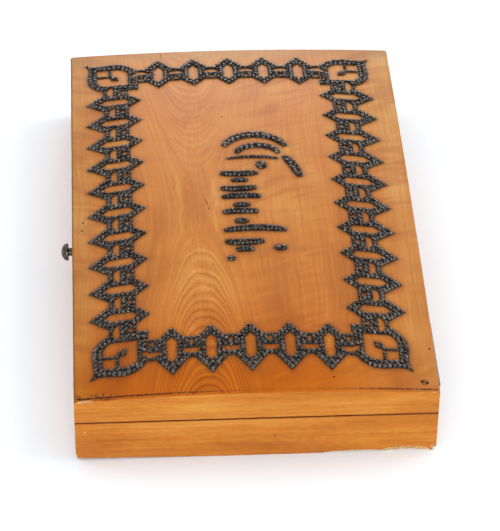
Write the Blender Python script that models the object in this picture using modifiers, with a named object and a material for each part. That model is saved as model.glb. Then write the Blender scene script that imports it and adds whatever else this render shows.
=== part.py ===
"""A satinwood box for playing cards, with a crowned lid that is studded with steel.

The box lies with its length along Y. The long wall with the button is its front, at -X, and the
hinges are along its back, at +X. The near end is at -Y. The origin is the middle of the underside.
Sizes are in metres.
"""

import math

import bmesh
import bpy
from mathutils import Matrix, Vector

# Driving sizes of the box
WIDTH = 0.120
LENGTH = 0.190
SEAM_HEIGHT = 0.0167
NEAR_CORNER_HEIGHT = 0.026
FAR_CORNER_HEIGHT = 0.0276
NEAR_ARCH = 0.0040
FAR_ARCH = 0.0017
SIDE_ARCH = 0.0031
CROWN = 0.0048
NEAR_FALL = 0.00195
NEAR_FALL_REACH = 0.015
WALL = 0.005
BOTTOM = 0.004
PANEL = 0.0035
RAIL_LIP = 0.0011
GAP = 0.0003
SEAM_GAP = 0.0004
DOME_CELLS = (12, 24)

# Hinges
HINGE_MIDDLES = {"near": -0.066, "far": 0.071}
HINGE_LENGTH = 0.031
PIVOT_PROUD = 0.00095
PIVOT_X = WIDTH / 2 + PIVOT_PROUD
KNUCKLE_RADIUS = 0.0011
BORE_RADIUS = 0.00078
PIN_RADIUS = 0.00045
LEAF_WIDTH = 0.0028
LEAF_THICKNESS = 0.0008
LEAF_EDGE = WIDTH / 2 - 0.0006

# The button at the front, as a turned profile: (radius, height above the wood)
BUTTON_HEIGHT = 0.011
BUTTON_SPIGOT = 0.0030
BUTTON_STEM_RADIUS = 0.00145
BUTTON_PROFILE = (
    (0.0, 0.0043),
    (0.0012, 0.0041),
    (0.0023, 0.0036),
    (0.0030, 0.0027),
    (0.0032, 0.0017),
    (0.0024, 0.0020),
    (BUTTON_STEM_RADIUS, 0.0022),
    (BUTTON_STEM_RADIUS, -BUTTON_SPIGOT),
    (0.0, -BUTTON_SPIGOT),
)

# The steel pattern, whose centre lies a little towards the front
PATTERN_CENTRE = (-0.0012, 0.0005)
PATTERN_HALF = (0.0532, 0.0870)
END_RUN_OUT = 0.0007
SIDE_COUNT = 10
SIDE_PITCH = 0.0133
END_COUNT = 5
END_PITCH = 0.01306
STEEL_THICKNESS = 0.0007

# One link of the border, as distances in from its outer point
LINK_DEPTH = 0.0202
OUTER_SHOULDER = (0.0054, 0.0066)
INNER_SHOULDER = (0.0041, 0.0156)
SLOT_HALF_WIDTH = 0.0018
SLOT_DEPTHS = (0.0050, 0.0071, 0.0143, 0.0162)
RING_HALF_WIDTH = 0.0030
RING_SLOT_DEPTHS = (0.0083, 0.0101, 0.0107)
RING_WINDOW_HALF_WIDTH = 0.0007
RING_WINDOW_DEPTHS = (0.0128, 0.0144)

# Where a run meets a corner: the slot runs on into the corner. Its part in the run, as pairs of the
# distance from the run's end and the depth
RUN_END_DEPTH = 0.0062
END_SLOT = (
    (0.0, 0.0077),
    (0.0012, 0.0076),
    (0.0030, 0.0081),
    (0.0045, 0.0093),
    (0.0043, 0.0100),
    (0.0, 0.0101),
)
END_WINDOW_INSET = 0.0016

# The leaf corner, as distances in from its outer point; the other half mirrors these points
CORNER_SIZE = 0.0187
CORNER_OUTSIDE = (
    (0.0011, 0.0022),
    (0.0012, 0.0046),
    (0.0006, 0.0098),
    (0.0009, 0.0130),
    (0.0020, 0.0152),
    (0.0036, 0.0171),
    (0.0056, CORNER_SIZE),
)
CORNER_NOTCH = (
    (0.0077, CORNER_SIZE),
    (0.0087, 0.0172),
    (0.0098, 0.0169),
    (0.0101, CORNER_SIZE),
)
CORNER_KNOB = ((0.0159, CORNER_SIZE), (0.0162, 0.0194), (0.0194, 0.0194))
CORNER_BAND = 0.0042
CORNER_THIN_BAND = 0.0157
CORNER_BEND = ((CORNER_BAND, 0.0124), (0.0052, 0.0144), (0.0068, CORNER_THIN_BAND))
CORNER_LINE = (0.0085, 0.0096)
CORNER_NECK = 0.0006
CORNER_BALL = 0.0106
CORNER_BALL_RADIUS = 0.0014
CORNER_BALL_POINT = 0.0008

# Plain strokes and dots in the middle of the lid
STROKE_STEPS = 10
STROKE_BOW_SHARE = 0.05
STROKE_TIP_SHARE = 0.5
STROKE_FULLNESS = 0.45
STROKE_ARCHES = {
    "stroke_arch_outer": ((0.0056, 0.0206), (0.0123, 0.0120), 155, 25, 0.0018),
    "stroke_arch_inner": ((0.0064, 0.0204), (0.0076, 0.0054), 172, 8, 0.0015),
}
STROKE_BARS = (
    (0.0179, -0.0046, 0.0136, 0.0008),
    (0.0094, -0.0074, 0.0058, 0.0016),
    (0.0049, -0.0037, 0.0021, 0.0013),
    (0.0008, -0.0076, 0.0048, 0.0016),
    (-0.0043, -0.0074, 0.0062, 0.0016),
    (-0.0085, -0.0036, 0.0022, 0.0013),
    (-0.0126, -0.0074, 0.0048, 0.0016),
    (-0.0172, -0.0036, 0.0012, 0.0014),
    (-0.0222, -0.0074, 0.0140, 0.0016),
    (-0.0279, -0.0074, 0.0060, 0.0016),
    (-0.0322, -0.0037, 0.0023, 0.0014),
)
STROKE_TAIL = ((0.0156, 0.0196), (0.0208, 0.0074))
STROKE_TAIL_HALF_WIDTH = 0.0017
STROKE_DOTS = (
    ((0.0074, 0.0138), (0.0020, 0.0024)),
    ((0.0114, -0.0314), (0.0024, 0.0015)),
    ((-0.0056, -0.0363), (0.0014, 0.0014)),
)

# Damage at the bottom edge of the near end
CHIP_START = 0.023
CHIP_END = 0.0588
CHIP_RADII = (0.0005, 0.0016)
CHIP_SIDES = 7

# How finely round shapes are cut up, and how near points are to be joined into one
ROUND_SIDES = 16
ARC_STEP = 45
WELD = 0.00001


def clear_scene():
    for old in list(bpy.data.objects):
        bpy.data.objects.remove(old, do_unlink=True)


def new_collection(name):
    collection = bpy.data.collections.new(name)
    bpy.context.scene.collection.children.link(collection)
    return collection


def make_material(name, colour, roughness, metallic):
    material = bpy.data.materials.new(name)
    material.use_nodes = True
    shader = material.node_tree.nodes["Principled BSDF"]
    shader.inputs["Base Color"].default_value = (*colour, 1.0)
    shader.inputs["Roughness"].default_value = roughness
    shader.inputs["Metallic"].default_value = metallic
    return material


def add_object(name, mesh, material, collection):
    obj = bpy.data.objects.new(name, mesh)
    collection.objects.link(obj)
    if material:
        mesh.materials.append(material)
    if collection is CUTTERS:
        obj.hide_render = True
        obj.display_type = "WIRE"
    return obj


def board(name, low, high, material=None, collection=None):
    """A squared board between two corners."""
    low, high = Vector(low), Vector(high)
    shape = bmesh.new()
    bmesh.ops.create_cube(shape, size=1.0)
    bmesh.ops.scale(shape, vec=high - low, verts=shape.verts)
    bmesh.ops.translate(shape, vec=(low + high) / 2, verts=shape.verts)
    mesh = bpy.data.meshes.new(name)
    shape.to_mesh(mesh)
    shape.free()
    return add_object(name, mesh, material, collection or PARTS)


def rod(name, start, end, radii, sides=ROUND_SIDES, material=None, collection=None):
    """A straight round rod or cone from start to end."""
    start, end = Vector(start), Vector(end)
    turn = (end - start).to_track_quat("Z", "Y").to_matrix().to_4x4()
    shape = bmesh.new()
    bmesh.ops.create_cone(
        shape,
        cap_ends=True,
        segments=sides,
        radius1=radii[0],
        radius2=radii[1],
        depth=(end - start).length,
        matrix=Matrix.Translation((start + end) / 2) @ turn,
    )
    mesh = bpy.data.meshes.new(name)
    shape.to_mesh(mesh)
    shape.free()
    return add_object(name, mesh, material, collection or CUTTERS)


def combine(obj, other, operation):
    modifier = obj.modifiers.new(f"{operation.title()} {other.name}", "BOOLEAN")
    modifier.operation = operation
    modifier.solver = "EXACT"
    modifier.object = other


def lid_top(x, y):
    """Height of the crowned lid above the table: two arches, and a crown over both.

    The lid has warped, so its far end is a little higher at the corners and flatter between them.
    Towards its near edge it falls off more steeply.
    """
    far = 0.5 + y / LENGTH
    corner = NEAR_CORNER_HEIGHT + (FAR_CORNER_HEIGHT - NEAR_CORNER_HEIGHT) * far
    end_arch = NEAR_ARCH + (FAR_ARCH - NEAR_ARCH) * far
    across = 1 - (2 * x / WIDTH) ** 2
    along = 1 - (2 * y / LENGTH) ** 2
    into_fall = max((NEAR_FALL_REACH - LENGTH / 2 - y) / NEAR_FALL_REACH, 0.0)
    crowned = corner + end_arch * across + SIDE_ARCH * along + CROWN * across * along
    return crowned - NEAR_FALL * across * into_fall**2


def domed_slab(name, half_x, half_y, offset, thickness, material=None, collection=None):
    """A slab under the lid's surface moved by offset. A negative thickness goes upwards."""
    shape = bmesh.new()
    bmesh.ops.create_grid(
        shape, x_segments=DOME_CELLS[0], y_segments=DOME_CELLS[1], size=1.0
    )
    bmesh.ops.scale(shape, vec=(half_x, half_y, 1.0), verts=shape.verts)
    for vert in shape.verts:
        vert.co.z = lid_top(vert.co.x, vert.co.y) + offset
    grown = bmesh.ops.extrude_face_region(shape, geom=shape.faces[:])
    moved = [item for item in grown["geom"] if isinstance(item, bmesh.types.BMVert)]
    bmesh.ops.translate(shape, vec=(0.0, 0.0, -thickness), verts=moved)
    bmesh.ops.recalc_face_normals(shape, faces=shape.faces)
    bmesh.ops.triangulate(shape, faces=shape.faces)
    mesh = bpy.data.meshes.new(name)
    shape.to_mesh(mesh)
    shape.free()
    return add_object(name, mesh, material, collection or PARTS)


def steel_piece(name, loops):
    """Flat steel in the shape of closed loops, holes included, laid over the lid's surface."""
    outline = bpy.data.curves.new(name, "CURVE")
    outline.dimensions = "2D"
    outline.fill_mode = "BOTH"
    outline.extrude = STEEL_THICKNESS / 2
    for loop in loops:
        spline = outline.splines.new("POLY")
        spline.points.add(len(loop) - 1)
        for point, (x, y) in zip(spline.points, loop):
            point.co = (x, y, 0.0, 1.0)
        spline.use_cyclic_u = True
    flat = bpy.data.objects.new(name + "_outline", outline)
    PARTS.objects.link(flat)
    bpy.context.view_layer.update()
    evaluated = flat.evaluated_get(bpy.context.evaluated_depsgraph_get())
    mesh = bpy.data.meshes.new_from_object(evaluated)
    bpy.data.objects.remove(flat, do_unlink=True)
    mesh.name = name
    shape = bmesh.new()
    shape.from_mesh(mesh)
    bmesh.ops.remove_doubles(shape, verts=shape.verts, dist=WELD)
    for vert in shape.verts:
        vert.co.z += lid_top(vert.co.x, vert.co.y) + GAP + STEEL_THICKNESS / 2
    bmesh.ops.recalc_face_normals(shape, faces=shape.faces)
    shape.to_mesh(mesh)
    shape.free()
    mesh.materials.clear()
    return add_object(name, mesh, CUT_STEEL, PARTS)


def make_base():
    half_x, half_y = WIDTH / 2, LENGTH / 2
    top = SEAM_HEIGHT - SEAM_GAP / 2
    inner_x, inner_y = half_x - WALL, half_y - WALL
    board(
        "base_bottom",
        (-inner_x + GAP, -inner_y + GAP, 0.0),
        (inner_x - GAP, inner_y - GAP, BOTTOM),
        SATINWOOD,
    )
    side_y = inner_y - GAP
    front = board("base_front", (-half_x, -side_y, 0.0), (-inner_x, side_y, top), SATINWOOD)
    back = board("base_back", (inner_x, -side_y, 0.0), (half_x, side_y, top), SATINWOOD)
    near = board("base_near_end", (-half_x, -half_y, 0.0), (half_x, -inner_y, top), SATINWOOD)
    board("base_far_end", (-half_x, inner_y, 0.0), (half_x, half_y, top), SATINWOOD)
    chip = rod(
        "chip_cutter",
        (CHIP_START, -half_y, 0.0),
        (CHIP_END, -half_y, 0.0),
        CHIP_RADII,
        sides=CHIP_SIDES,
    )
    combine(near, chip, "DIFFERENCE")
    hole = rod(
        "button_hole_cutter",
        (-half_x - GAP, 0.0, BUTTON_HEIGHT),
        (-half_x + BUTTON_SPIGOT + GAP, 0.0, BUTTON_HEIGHT),
        (BUTTON_STEM_RADIUS + GAP, BUTTON_STEM_RADIUS + GAP),
    )
    combine(front, hole, "DIFFERENCE")
    return back


def make_button():
    mesh = bpy.data.meshes.new("button")
    points = [(radius, 0.0, height) for radius, height in BUTTON_PROFILE]
    edges = [(i, i + 1) for i in range(len(points) - 1)]
    mesh.from_pydata(points, edges, [])
    button = add_object("button", mesh, CUT_STEEL, PARTS)
    button.location = (-WIDTH / 2, 0.0, BUTTON_HEIGHT)
    button.rotation_euler = (0.0, -math.pi / 2, 0.0)
    screw = button.modifiers.new("Turn", "SCREW")
    screw.axis = "Z"
    screw.steps = ROUND_SIDES
    screw.render_steps = ROUND_SIDES
    screw.use_merge_vertices = True
    screw.merge_threshold = WELD
    screw.use_smooth_shade = True


def make_lid():
    half_x, half_y = WIDTH / 2, LENGTH / 2
    inner_x, inner_y = half_x - WALL, half_y - WALL
    bottom = SEAM_HEIGHT + SEAM_GAP / 2
    tall = FAR_CORNER_HEIGHT + NEAR_ARCH + SIDE_ARCH + CROWN
    domed_slab(
        "lid_panel",
        half_x - RAIL_LIP - GAP,
        half_y - RAIL_LIP - GAP,
        0.0,
        PANEL,
        SATINWOOD,
    )
    over_x, over_y = half_x + WALL, half_y + WALL
    above = domed_slab("above_lid_cutter", over_x, over_y, 0.0, -tall, None, CUTTERS)
    lip_x, lip_y = half_x - RAIL_LIP, half_y - RAIL_LIP
    under = -PANEL - GAP
    rebate = domed_slab("panel_rebate_cutter", lip_x, lip_y, under, -tall, None, CUTTERS)
    side_y = inner_y - GAP
    rails = {
        "lid_front_rail": ((-half_x, -side_y), (-inner_x, side_y)),
        "lid_back_rail": ((inner_x, -side_y), (half_x, side_y)),
        "lid_near_rail": ((-half_x, -half_y), (half_x, -inner_y)),
        "lid_far_rail": ((-half_x, inner_y), (half_x, half_y)),
    }
    made = {}
    for name, (low, high) in rails.items():
        made[name] = board(name, (*low, bottom), (*high, tall), SATINWOOD)
        combine(made[name], above, "DIFFERENCE")
        combine(made[name], rebate, "DIFFERENCE")
    return made["lid_back_rail"]


def cut_hinge_pockets(end, low_y, high_y, walls):
    """The recess in both back walls that the leaves lie in, and the one behind the knuckles."""
    pockets = {
        "leaf": (LEAF_EDGE - LEAF_WIDTH - GAP, SEAM_GAP / 2 + LEAF_THICKNESS + GAP),
        "knuckle": (PIVOT_X - KNUCKLE_RADIUS - GAP, KNUCKLE_RADIUS + GAP),
    }
    for name, (low_x, reach) in pockets.items():
        pocket = board(
            f"{end}_{name}_pocket_cutter",
            (low_x, low_y - GAP, SEAM_HEIGHT - reach),
            (WIDTH, high_y + GAP, SEAM_HEIGHT + reach),
            None,
            CUTTERS,
        )
        for wall in walls:
            combine(wall, pocket, "DIFFERENCE")


def make_leaf(name, leaf_y, leaf_z, knuckles):
    """A hinge leaf with its knuckles, each a tab and a round barrel about the hinge's axis."""
    leaf = board(
        f"hinge_{name}_leaf",
        (LEAF_EDGE - LEAF_WIDTH, leaf_y[0], leaf_z[0]),
        (LEAF_EDGE, leaf_y[1], leaf_z[1]),
        HINGE_STEEL,
    )
    for number, (start, stop) in enumerate(knuckles, 1):
        tab = board(
            f"{name}_tab_{number}",
            (LEAF_EDGE - GAP, start, leaf_z[0]),
            (PIVOT_X, stop, leaf_z[1]),
            None,
            CUTTERS,
        )
        barrel = rod(
            f"{name}_knuckle_{number}",
            (PIVOT_X, start, SEAM_HEIGHT),
            (PIVOT_X, stop, SEAM_HEIGHT),
            (KNUCKLE_RADIUS, KNUCKLE_RADIUS),
        )
        combine(leaf, tab, "UNION")
        combine(leaf, barrel, "UNION")
    return leaf


def make_hinge(end, base_back, lid_back):
    """One butt hinge: the outer knuckles and the pin on the base leaf, the middle one on the lid's."""
    middle = HINGE_MIDDLES[end]
    low_y, high_y = middle - HINGE_LENGTH / 2, middle + HINGE_LENGTH / 2
    cut_hinge_pockets(end, low_y, high_y, (base_back, lid_back))

    third = HINGE_LENGTH / 3
    inset = third / 2
    low_joint, high_joint = low_y + third, high_y - third
    base_top = SEAM_HEIGHT - SEAM_GAP / 2
    lid_bottom = SEAM_HEIGHT + SEAM_GAP / 2

    base_leaf = make_leaf(
        f"{end}_base",
        (low_y, high_y),
        (base_top - LEAF_THICKNESS, base_top),
        ((low_y, low_joint), (high_joint, high_y)),
    )
    pin = rod(
        f"{end}_pin",
        (PIVOT_X, low_y + inset, SEAM_HEIGHT),
        (PIVOT_X, high_y - inset, SEAM_HEIGHT),
        (PIN_RADIUS, PIN_RADIUS),
    )
    combine(base_leaf, pin, "UNION")

    lid_leaf = make_leaf(
        f"{end}_lid",
        (low_y, high_y),
        (lid_bottom, lid_bottom + LEAF_THICKNESS),
        ((low_joint + GAP, high_joint - GAP),),
    )
    bore = rod(
        f"{end}_bore_cutter",
        (PIVOT_X, low_y, SEAM_HEIGHT),
        (PIVOT_X, high_y, SEAM_HEIGHT),
        (BORE_RADIUS, BORE_RADIUS),
    )
    combine(lid_leaf, bore, "DIFFERENCE")


def link_outline(middles, end):
    """The loops of one run of the border, as (along, depth) pairs: its edge, then its holes."""
    outer, inner, holes = [(-end, RUN_END_DEPTH)], [(-end, INNER_SHOULDER[1])], []
    for middle in middles:
        shoulder, depth = OUTER_SHOULDER
        outer += [(middle - shoulder, depth), (middle, 0.0), (middle + shoulder, depth)]
        shoulder, depth = INNER_SHOULDER
        inner += [(middle - shoulder, depth), (middle, LINK_DEPTH), (middle + shoulder, depth)]
        tip, low, high, far = SLOT_DEPTHS
        wide = SLOT_HALF_WIDTH
        holes.append(
            [
                (middle, tip),
                (middle + wide, low),
                (middle + wide, high),
                (middle, far),
                (middle - wide, high),
                (middle - wide, low),
            ]
        )
    outer.append((end, RUN_END_DEPTH))
    inner.append((end, INNER_SHOULDER[1]))
    pitch = middles[1] - middles[0]
    between = [middle + pitch / 2 for middle in middles[:-1]]
    for middle in between:
        start, side, low = RING_SLOT_DEPTHS
        wide = RING_HALF_WIDTH
        arc = [
            (
                middle + wide * math.cos(math.radians(angle)),
                side - (side - start) * math.sin(math.radians(angle)),
            )
            for angle in range(0, 181, ARC_STEP)
        ]
        holes.append([*arc, (middle - wide, low), (middle + wide, low)])
    last = end - END_WINDOW_INSET
    for middle in [-last, *between, last]:
        start, low = RING_WINDOW_DEPTHS
        wide = RING_WINDOW_HALF_WIDTH
        holes.append(
            [
                (middle - wide, start),
                (middle + wide, start),
                (middle + wide, low),
                (middle - wide, low),
            ]
        )
    stop_slot = [(end - back, depth) for back, depth in END_SLOT]
    start_slot = [(-end + back, depth) for back, depth in END_SLOT[::-1]]
    return [outer + stop_slot + inner[::-1] + start_slot, *holes]


def make_border_runs():
    half_x, half_y = PATTERN_HALF
    centre_x, centre_y = PATTERN_CENTRE
    sides = [(i - (SIDE_COUNT - 1) / 2) * SIDE_PITCH for i in range(SIDE_COUNT)]
    ends = [(i - (END_COUNT - 1) / 2) * END_PITCH for i in range(END_COUNT)]
    long_run = link_outline(sides, half_y - CORNER_SIZE - GAP)
    short_run = link_outline(ends, half_x - CORNER_SIZE - GAP)
    for name, sign in (("front", -1), ("back", 1)):
        loops = [
            [(centre_x + sign * (half_x - depth), centre_y + along) for along, depth in loop]
            for loop in long_run
        ]
        steel_piece(f"border_{name}", loops)
    end_y = half_y + END_RUN_OUT
    for name, sign in (("near", -1), ("far", 1)):
        loops = [
            [(centre_x + along, centre_y + sign * (end_y - depth)) for along, depth in loop]
            for loop in short_run
        ]
        steel_piece(f"border_{name}", loops)


def corner_outline():
    """The loops of one leaf corner, mirrored about its diagonal: edge, field and small square."""

    def mirrored(points):
        return [(b, a) for a, b in reversed(points)]

    half = [*CORNER_OUTSIDE, *CORNER_NOTCH, *CORNER_KNOB]
    edge = [(0.0, 0.0), *half, *mirrored(half[:-1])]
    line_start, line_end = CORNER_LINE
    bend = [(CORNER_BAND, line_end), *CORNER_BEND]
    neck = [(line_end, line_end - CORNER_NECK)]
    ball = []
    for angle in [math.radians(turn) for turn in range(-90, 181, ARC_STEP)]:
        reach = CORNER_BALL_RADIUS + CORNER_BALL_POINT * max(math.sin(2 * angle), 0.0)
        ball.append((CORNER_BALL + reach * math.cos(angle), CORNER_BALL + reach * math.sin(angle)))
    inside = (CORNER_THIN_BAND, CORNER_THIN_BAND)
    field = [*bend, inside, *mirrored(bend), *neck, *ball, *mirrored(neck)]
    square = [
        (CORNER_BAND, CORNER_BAND),
        (CORNER_BAND, line_start),
        (line_start, line_start),
        (line_start, CORNER_BAND),
    ]
    return [edge, field, square]


def make_corners():
    half_x, half_y = PATTERN_HALF
    centre_x, centre_y = PATTERN_CENTRE
    for end, sign_y in (("near", -1), ("far", 1)):
        for side, sign_x in (("front", -1), ("back", 1)):
            loops = [
                [
                    (centre_x + sign_x * (half_x - a), centre_y + sign_y * (half_y - b))
                    for a, b in loop
                ]
                for loop in corner_outline()
            ]
            steel_piece(f"corner_{end}_{side}", loops)


def band(points, widths):
    """The outline of a stroke along a middle line, given its half width at each point."""
    left, right = [], []
    for i, (point, width) in enumerate(zip(points, widths)):
        before, after = points[max(i - 1, 0)], points[min(i + 1, len(points) - 1)]
        run = Vector((after[0] - before[0], after[1] - before[1])).normalized()
        left.append((point[0] - run.y * width, point[1] + run.x * width))
        right.append((point[0] + run.y * width, point[1] - run.x * width))
    return left + right[::-1]


def arch(middle, radii, start, stop):
    """Points along an elliptic arch, from one angle in degrees to another."""
    step = math.radians(stop - start) / STROKE_STEPS
    angles = [math.radians(start) + step * i for i in range(STROKE_STEPS + 1)]
    return [
        (middle[0] + radii[0] * math.cos(angle), middle[1] + radii[1] * math.sin(angle))
        for angle in angles
    ]


def bowed(start, stop, bow):
    """Points along a straight line that bows to its left in the middle."""
    start, stop = Vector(start), Vector(stop)
    side = Vector((start.y - stop.y, stop.x - start.x)).normalized()
    steps = [i / STROKE_STEPS for i in range(STROKE_STEPS + 1)]
    return [tuple(start.lerp(stop, t) + side * bow * 4 * t * (1 - t)) for t in steps]


def tapered(points, half_width):
    """A stroke that narrows to both ends."""
    widths = []
    for i in range(len(points)):
        swell = math.sin(math.pi * i / (len(points) - 1)) ** STROKE_FULLNESS
        widths.append(half_width * (STROKE_TIP_SHARE + (1 - STROKE_TIP_SHARE) * swell))
    return band(points, widths)


def make_strokes():
    for name, (middle, radii, start, stop, half_width) in STROKE_ARCHES.items():
        line = arch(middle, radii, start, stop)
        steel_piece(name, [tapered(line, half_width)])
    for number, (y, start, stop, half_width) in enumerate(STROKE_BARS, 1):
        bow = STROKE_BOW_SHARE if number % 2 else -STROKE_BOW_SHARE
        line = bowed((start, y), (stop, y), bow * (stop - start))
        steel_piece(f"stroke_bar_{number}", [tapered(line, half_width)])
    tail_start, tail_stop = STROKE_TAIL
    line = bowed(tail_start, tail_stop, STROKE_BOW_SHARE * math.dist(tail_start, tail_stop))
    steel_piece("stroke_tail", [tapered(line, STROKE_TAIL_HALF_WIDTH)])
    for number, (middle, radii) in enumerate(STROKE_DOTS, 1):
        steel_piece(f"stroke_dot_{number}", [arch(middle, radii, 0, 360)[:-1]])


clear_scene()
PARTS = new_collection("Playing card box")
CUTTERS = new_collection("Cutters")
SATINWOOD = make_material("satinwood", (0.55, 0.24, 0.07), 0.38, 0.0)
CUT_STEEL = make_material("cut_steel", (0.10, 0.10, 0.11), 0.28, 1.0)
HINGE_STEEL = make_material("hinge_steel", (0.25, 0.23, 0.20), 0.40, 1.0)

base_back_wall = make_base()
make_button()
lid_back_wall = make_lid()
for hinge_end in HINGE_MIDDLES:
    make_hinge(hinge_end, base_back_wall, lid_back_wall)
make_border_runs()
make_corners()
make_strokes()
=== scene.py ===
# %% [markdown]
# # A box for playing cards, in satinwood and cut steel
#
# The real thing is a shallow wooden box with a crowned lid on two butt hinges. Hundreds of small
# steel studs are driven into the lid in rows: a chain of links round the edge and plain strokes in
# the middle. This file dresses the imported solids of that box. It builds the wood again with worn
# edges and damage, sets every stud, and makes the finishes from shader nodes.
#
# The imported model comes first, because every later piece has to lie where its solid lies.

import math
import random

import bmesh
import bpy
import numpy as np
from mathutils import Matrix, Vector


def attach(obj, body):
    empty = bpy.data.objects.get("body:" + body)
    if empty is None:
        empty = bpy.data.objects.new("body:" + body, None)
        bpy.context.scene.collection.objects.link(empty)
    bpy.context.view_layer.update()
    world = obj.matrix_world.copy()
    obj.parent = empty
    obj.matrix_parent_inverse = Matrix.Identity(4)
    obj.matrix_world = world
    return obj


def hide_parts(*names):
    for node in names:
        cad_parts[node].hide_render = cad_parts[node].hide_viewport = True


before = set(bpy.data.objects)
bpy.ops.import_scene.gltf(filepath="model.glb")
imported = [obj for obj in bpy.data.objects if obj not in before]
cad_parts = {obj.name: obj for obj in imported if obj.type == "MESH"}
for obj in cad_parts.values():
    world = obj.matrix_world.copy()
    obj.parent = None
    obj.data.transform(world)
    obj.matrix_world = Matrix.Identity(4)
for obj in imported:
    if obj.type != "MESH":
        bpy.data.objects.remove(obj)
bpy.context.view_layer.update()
MM = 0.001

# %% [markdown]
# ## Camera
#
# The photograph was taken with a long lens from in front of the near end, looking down at about
# forty degrees. A long lens far away keeps the sides of the box nearly parallel, as they are in the
# photograph. The camera is turned in three steps, each about one axis: yaw, pitch, then roll.

# %% Camera at the photograph's angle
CAMERA_PLACE = (-0.04543, -0.73850, 0.62519)
CAMERA_YAW = 3.757
CAMERA_PITCH = 40.08
CAMERA_ROLL = 0.894
CAMERA_LENS = 182.67


def add_object(name, data):
    """Puts new data into the scene as an object."""
    obj = bpy.data.objects.new(name, data)
    bpy.context.scene.collection.objects.link(obj)
    return obj


camera_data = bpy.data.cameras.new("camera")
camera_data.lens = CAMERA_LENS
camera_data.clip_start = 0.05
camera_data.clip_end = 20.0
camera = add_object("camera", camera_data)
bpy.context.scene.camera = camera
camera.matrix_world = (
    Matrix.Translation(CAMERA_PLACE)
    @ Matrix.Rotation(math.radians(-CAMERA_YAW), 4, "Z")
    @ Matrix.Rotation(math.radians(90 - CAMERA_PITCH), 4, "X")
    @ Matrix.Rotation(math.radians(CAMERA_ROLL), 4, "Z")
)
print("camera distance:", round(Vector(CAMERA_PLACE).length, 3), "m")

# %% [markdown]
# ## Shader maths
#
# A finish is a sum of many small patterns. Written out node by node, such a sum is hard to read, so
# one small class wraps a socket and lets Python's own signs add the Math nodes. Every other node
# comes from one method that first sets the node's options and then fills its sockets.

# %% A socket that can be used in sums
class Wire:
    """The output of a node, which adds Math nodes when it is used in a sum."""

    def __init__(self, finish, socket):
        self.finish = finish
        self.socket = socket

    def maths(self, operation, first, second):
        return self.finish.node("ShaderNodeMath", {"operation": operation}, {0: first, 1: second})

    def __add__(self, other):
        return self.maths("ADD", self, other)

    def __radd__(self, other):
        return self.maths("ADD", other, self)

    def __sub__(self, other):
        return self.maths("SUBTRACT", self, other)

    def __mul__(self, other):
        return self.maths("MULTIPLY", self, other)

    def __rmul__(self, other):
        return self.maths("MULTIPLY", other, self)

    def __truediv__(self, other):
        return self.maths("DIVIDE", self, other)

    def __pow__(self, other):
        return self.maths("POWER", self, other)

    def sine(self):
        return self.maths("SINE", self, 0.0)

    def size(self):
        return self.maths("ABSOLUTE", self, 0.0)

    def at_least(self, other):
        return self.maths("MAXIMUM", self, other)

    def at_most(self, other):
        return self.maths("MINIMUM", self, other)


print("shader maths ready")


# %% A finish, with one method that adds any node
class Finish:
    """A material under construction."""

    def __init__(self, name):
        self.material = bpy.data.materials.new(name)
        self.material.use_nodes = True
        self.tree = self.material.node_tree
        self.tree.nodes.clear()
        place = self.node("ShaderNodeTexCoord", output="Object")
        self.place = self.node(
            "ShaderNodeVectorMath", {"operation": "SCALE"}, {0: place, "Scale": 1 / MM}
        )
        split = self.node("ShaderNodeSeparateXYZ", sockets={0: self.place}).socket.node
        self.x, self.y, self.z = [Wire(self, socket) for socket in split.outputs]

    def node(self, kind, settings=None, sockets=None, output=0, stops=None):
        """Adds a node: its settings and ramp stops first, then the values or links of its sockets."""
        made = self.tree.nodes.new(kind)
        for key, value in (settings or {}).items():
            setattr(made, key, value)
        if stops:
            ramp = made.color_ramp
            while len(ramp.elements) < len(stops):
                ramp.elements.new(0.5)
            for element, (position, colour) in zip(ramp.elements, stops):
                element.position = position
                element.color = (*colour, 1.0)
        for key, value in (sockets or {}).items():
            if isinstance(value, Wire):
                self.tree.links.new(value.socket, made.inputs[key])
            else:
                made.inputs[key].default_value = value
        return Wire(self, made.outputs[output]) if made.outputs else None

    def point(self, x, y, z):
        return self.node("ShaderNodeCombineXYZ", sockets={0: x, 1: y, 2: z})

    def noise(self, vector, scale=1.0, detail=2.0):
        sockets = {"Vector": vector, "Scale": scale, "Detail": detail}
        return self.node("ShaderNodeTexNoise", sockets=sockets)

    def fade(self, value, start, stop, low=0.0, high=1.0):
        """A smooth step from low to high as value goes from start to stop."""
        return self.node(
            "ShaderNodeMapRange",
            {"interpolation_type": "SMOOTHSTEP"},
            {"Value": value, 1: start, 2: stop, 3: low, 4: high},
        )

    def mix(self, factor, first, second, blend="MIX"):
        """Mixes two colours."""
        colours = [tone if isinstance(tone, Wire) else (*tone, 1.0) for tone in (first, second)]
        return self.node(
            "ShaderNodeMix",
            {"data_type": "RGBA", "blend_type": blend},
            {0: factor, 6: colours[0], 7: colours[1]},
            output=2,
        )

    def ramp(self, value, stops):
        return self.node("ShaderNodeValToRGB", sockets={0: value}, stops=stops)

    def close(self, links, constants, height=None, bump_depth=0.0):
        """Ends the material in one Principled shader."""
        sockets = {**constants, **links}
        if height is not None:
            bump = {"Height": height, "Strength": 1.0, "Distance": bump_depth}
            sockets["Normal"] = self.node("ShaderNodeBump", sockets=bump)
        shader = self.node("ShaderNodeBsdfPrincipled", sockets=sockets)
        self.node("ShaderNodeOutputMaterial", sockets={"Surface": shader})
        return self.material


print("finish class ready")

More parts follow.
